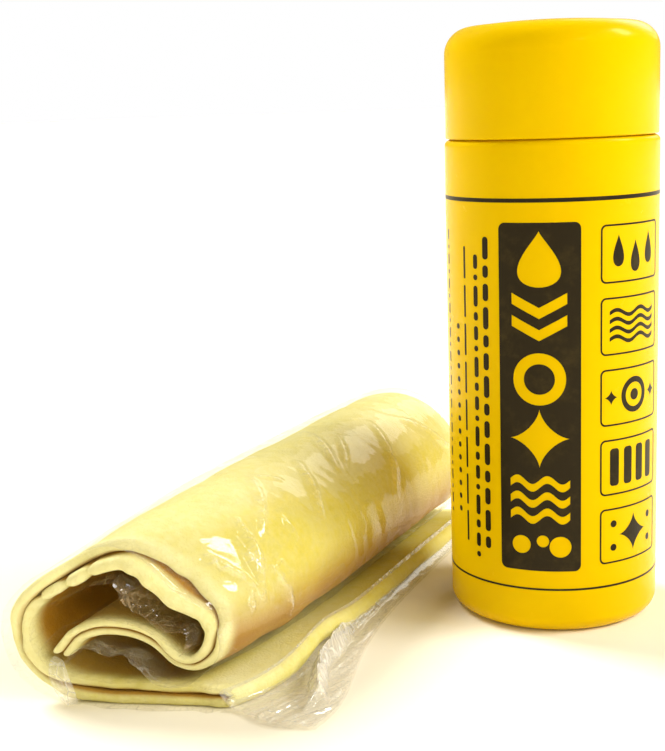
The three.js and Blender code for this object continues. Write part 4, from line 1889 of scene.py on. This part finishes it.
@dataclass(frozen=True)
class PhotoCamera:
    """Camera at the photograph's viewing angle."""

    distance: float = 0.39443
    height: float = 0.14610
    pitch_deg: float = 11.04
    yaw_deg: float = 9.33
    roll_deg: float = 1.99
    focal_px: float = 1361.7
    picture_height_px: float = 751.0
    sensor_mm: float = 36.0

    def place(self) -> bpy.types.Object:
        """Makes the camera and the scene's own camera of it.

        Returns:
            The camera.
        """
        yaw, pitch, roll = (math.radians(angle) for angle in (self.yaw_deg, self.pitch_deg, self.roll_deg))
        ahead = Vector((-math.sin(yaw), math.cos(yaw), 0.0))
        level = Vector((math.cos(yaw), math.sin(yaw), 0.0))
        up = Vector((0.0, 0.0, 1.0))
        look = ahead * math.cos(pitch) - up * math.sin(pitch)
        tilted = ahead * math.sin(pitch) + up * math.cos(pitch)
        right = level * math.cos(roll) - tilted * math.sin(roll)
        top = level * math.sin(roll) + tilted * math.cos(roll)
        data = bpy.data.cameras.new("photo_camera")
        data.sensor_width = self.sensor_mm
        data.lens = self.focal_px * self.sensor_mm / self.picture_height_px
        data.clip_start = 0.01
        camera = add_to_scene("photo_camera", data)
        turn = Matrix((right, top, -look)).transposed()
        camera.matrix_world = Matrix.Translation((0.0, -self.distance, self.height)) @ turn.to_4x4()
        bpy.context.scene.camera = camera
        return camera


@dataclass(frozen=True)
class SoftBox:
    """A rectangular soft light that faces the object."""

    name: str
    place: tuple
    width: float
    height: float
    watts: float
    colour: tuple = (1.0, 1.0, 1.0)
    target: tuple = (-0.04, -0.02, 0.05)

    def make(self) -> bpy.types.Object:
        """Makes the light.

        Returns:
            The light.
        """
        data = bpy.data.lights.new(self.name, "AREA")
        data.shape = "RECTANGLE"
        data.size = self.width
        data.size_y = self.height
        data.energy = self.watts
        data.color = self.colour
        light = add_to_scene(self.name, data)
        light.location = self.place
        towards = Vector(self.target) - Vector(self.place)
        light.rotation_euler = towards.to_track_quat("-Z", "Y").to_euler()
        return light


@dataclass(frozen=True)
class FarLight:
    """A broad soft light, so far off that it lights the whole table alike. Only some show in reflections."""

    name: str
    side_deg: float
    height_deg: float
    strength: float
    softness_deg: float = 50.0
    colour: tuple = (1.0, 1.0, 1.0)
    shines: bool = False

    def make(self) -> bpy.types.Object:
        """Makes the light. Its side is counted from +Y towards +X.

        Returns:
            The light.
        """
        data = bpy.data.lights.new(self.name, "SUN")
        data.energy = self.strength
        data.angle = math.radians(self.softness_deg)
        data.color = self.colour
        light = add_to_scene(self.name, data)
        side, height = math.radians(self.side_deg), math.radians(self.height_deg)
        flat = math.cos(height)
        source = Vector((math.sin(side) * flat, math.cos(side) * flat, math.sin(height)))
        light.rotation_euler = (-source).to_track_quat("-Z", "Y").to_euler()
        light.location = 3.0 * source
        light.visible_glossy = self.shines
        return light


@dataclass(frozen=True)
class Studio:
    """Plain white table, broad soft lights from all sides and small bright windows that shine in the film."""

    floor_radius: float = 80.0
    floor_white: tuple = (0.95, 0.89, 0.75)
    rim_points: int = 96
    mirrored_strength: float = 0.5
    mirrored_colour: tuple = (1.0, 0.85, 0.32, 1.0)
    room_strength: float = 0.04
    room_colour: tuple = (1.0, 0.72, 0.22, 1.0)
    far_lights: tuple = (
        FarLight("left_light", -54.0, 42.0, 4.2, 26.0),
        FarLight("right_light", 92.0, 34.0, 1.9, 24.0),
        FarLight("front_right_light", 117.0, 37.0, 1.2, 32.0, (1.0, 0.94, 0.70)),
        FarLight("front_light", 188.0, 8.0, 0.9, 60.0, (1.0, 0.9, 0.55)),
        FarLight("front_left_light", 240.0, 14.0, 0.3, 60.0, (1.0, 0.9, 0.55)),
        FarLight("back_glow", 24.0, 28.0, 0.2, 22.0, shines=True),
        FarLight("back_halo", 24.0, 28.0, 0.25, 40.0, shines=True),
    )
    windows: tuple = (
        SoftBox("right_window", (0.68, 0.107, 0.73), 0.20, 0.30, 2.6),
        SoftBox("front_window", (0.55, -0.85, 0.75), 0.10, 0.14, 0.8),
    )

    def build(self) -> None:
        """Builds the table, the sky and the lights."""
        self.floor()
        self.sky()
        for light in (*self.far_lights, *self.windows):
            light.make()
        bpy.context.scene.view_settings.view_transform = "Standard"

    def floor(self) -> bpy.types.Object:
        """Builds the table as a round plate at height zero.

        Returns:
            The table.
        """
        tree = FinishTree("white_table")
        grain = tree.noise(tree.place(), 300.0)
        shade = tuple(0.985 * part for part in self.floor_white)
        inputs = {
            "Base Color": tree.blend_colours(grain, self.floor_white, shade),
            "Roughness": 0.75,
            "Specular IOR Level": 0.2,
        }
        one = np.arange(self.rim_points)
        following = (one + 1) % self.rim_points
        angles = one * 2.0 * np.pi / self.rim_points
        rim = self.floor_radius * np.stack([np.cos(angles), np.sin(angles), np.zeros(self.rim_points)], -1)
        faces = np.stack([np.full(self.rim_points, self.rim_points), one, following, following], -1)
        plate = make_piece("table", np.vstack([rim, [[0.0, 0.0, 0.0]]]), faces, tree.principled(inputs))
        return plate

    def sky(self) -> None:
        """Makes the room: white to the eye, yellow in reflections, and a dim warm light on everything."""
        world = bpy.data.worlds.new("white_room")
        world.use_nodes = True
        nodes, links = world.node_tree.nodes, world.node_tree.links
        nodes.clear()
        white = (1.0, 1.0, 1.0, 1.0)
        mirrored = (self.mirrored_colour, self.mirrored_strength)
        shades = [(self.room_colour, self.room_strength), mirrored, (white, 1.0)]
        lit, mirrored, seen = (self.background(nodes, *shade).outputs[0] for shade in shades)
        path = nodes.new("ShaderNodeLightPath")
        for ray, other in (("Is Glossy Ray", mirrored), ("Is Camera Ray", seen)):
            choice = nodes.new("ShaderNodeMixShader")
            for socket, source in zip(choice.inputs, (path.outputs[ray], lit, other)):
                links.new(source, socket)
            lit = choice.outputs[0]
        links.new(lit, nodes.new("ShaderNodeOutputWorld").inputs["Surface"])
        bpy.context.scene.world = world

    @staticmethod
    def background(nodes: bpy.types.Nodes, colour: tuple, strength: float) -> bpy.types.Node:
        """Adds a background of one colour and strength.

        Args:
            nodes: The world's nodes.
            colour: The colour.
            strength: Its strength.

        Returns:
            The node.
        """
        node = nodes.new("ShaderNodeBackground")
        node.inputs["Color"].default_value = colour
        node.inputs["Strength"].default_value = strength
        return node


def main() -> None:
    logging.basicConfig(level=logging.INFO, format="%(name)s: %(message)s")
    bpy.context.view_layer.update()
    PhotoCamera().place()
    Studio().build()
    tube = StorageTube(MouldedPlastic("tube_plastic").make())
    form = RollForm()
    films = (ClearFilm(), ClearFilm.inside(), ClearFilm.crushed(), ClearFilm.milky())
    makers = (
        tube,
        PullOffCap(MouldedPlastic("cap_plastic", gloss_roughness=0.18).make()),
        TubePrint(tube, PrintedInk().make()),
        FoldedCloth(form, Chamois().make()),
        FilmBag(form, *(film.make() for film in films)),
    )
    for maker in makers:
        for piece in maker.build():
            LOG.info("%s: %d faces", piece.name, len(piece.data.polygons))


if __name__ == "__main__":
    main()
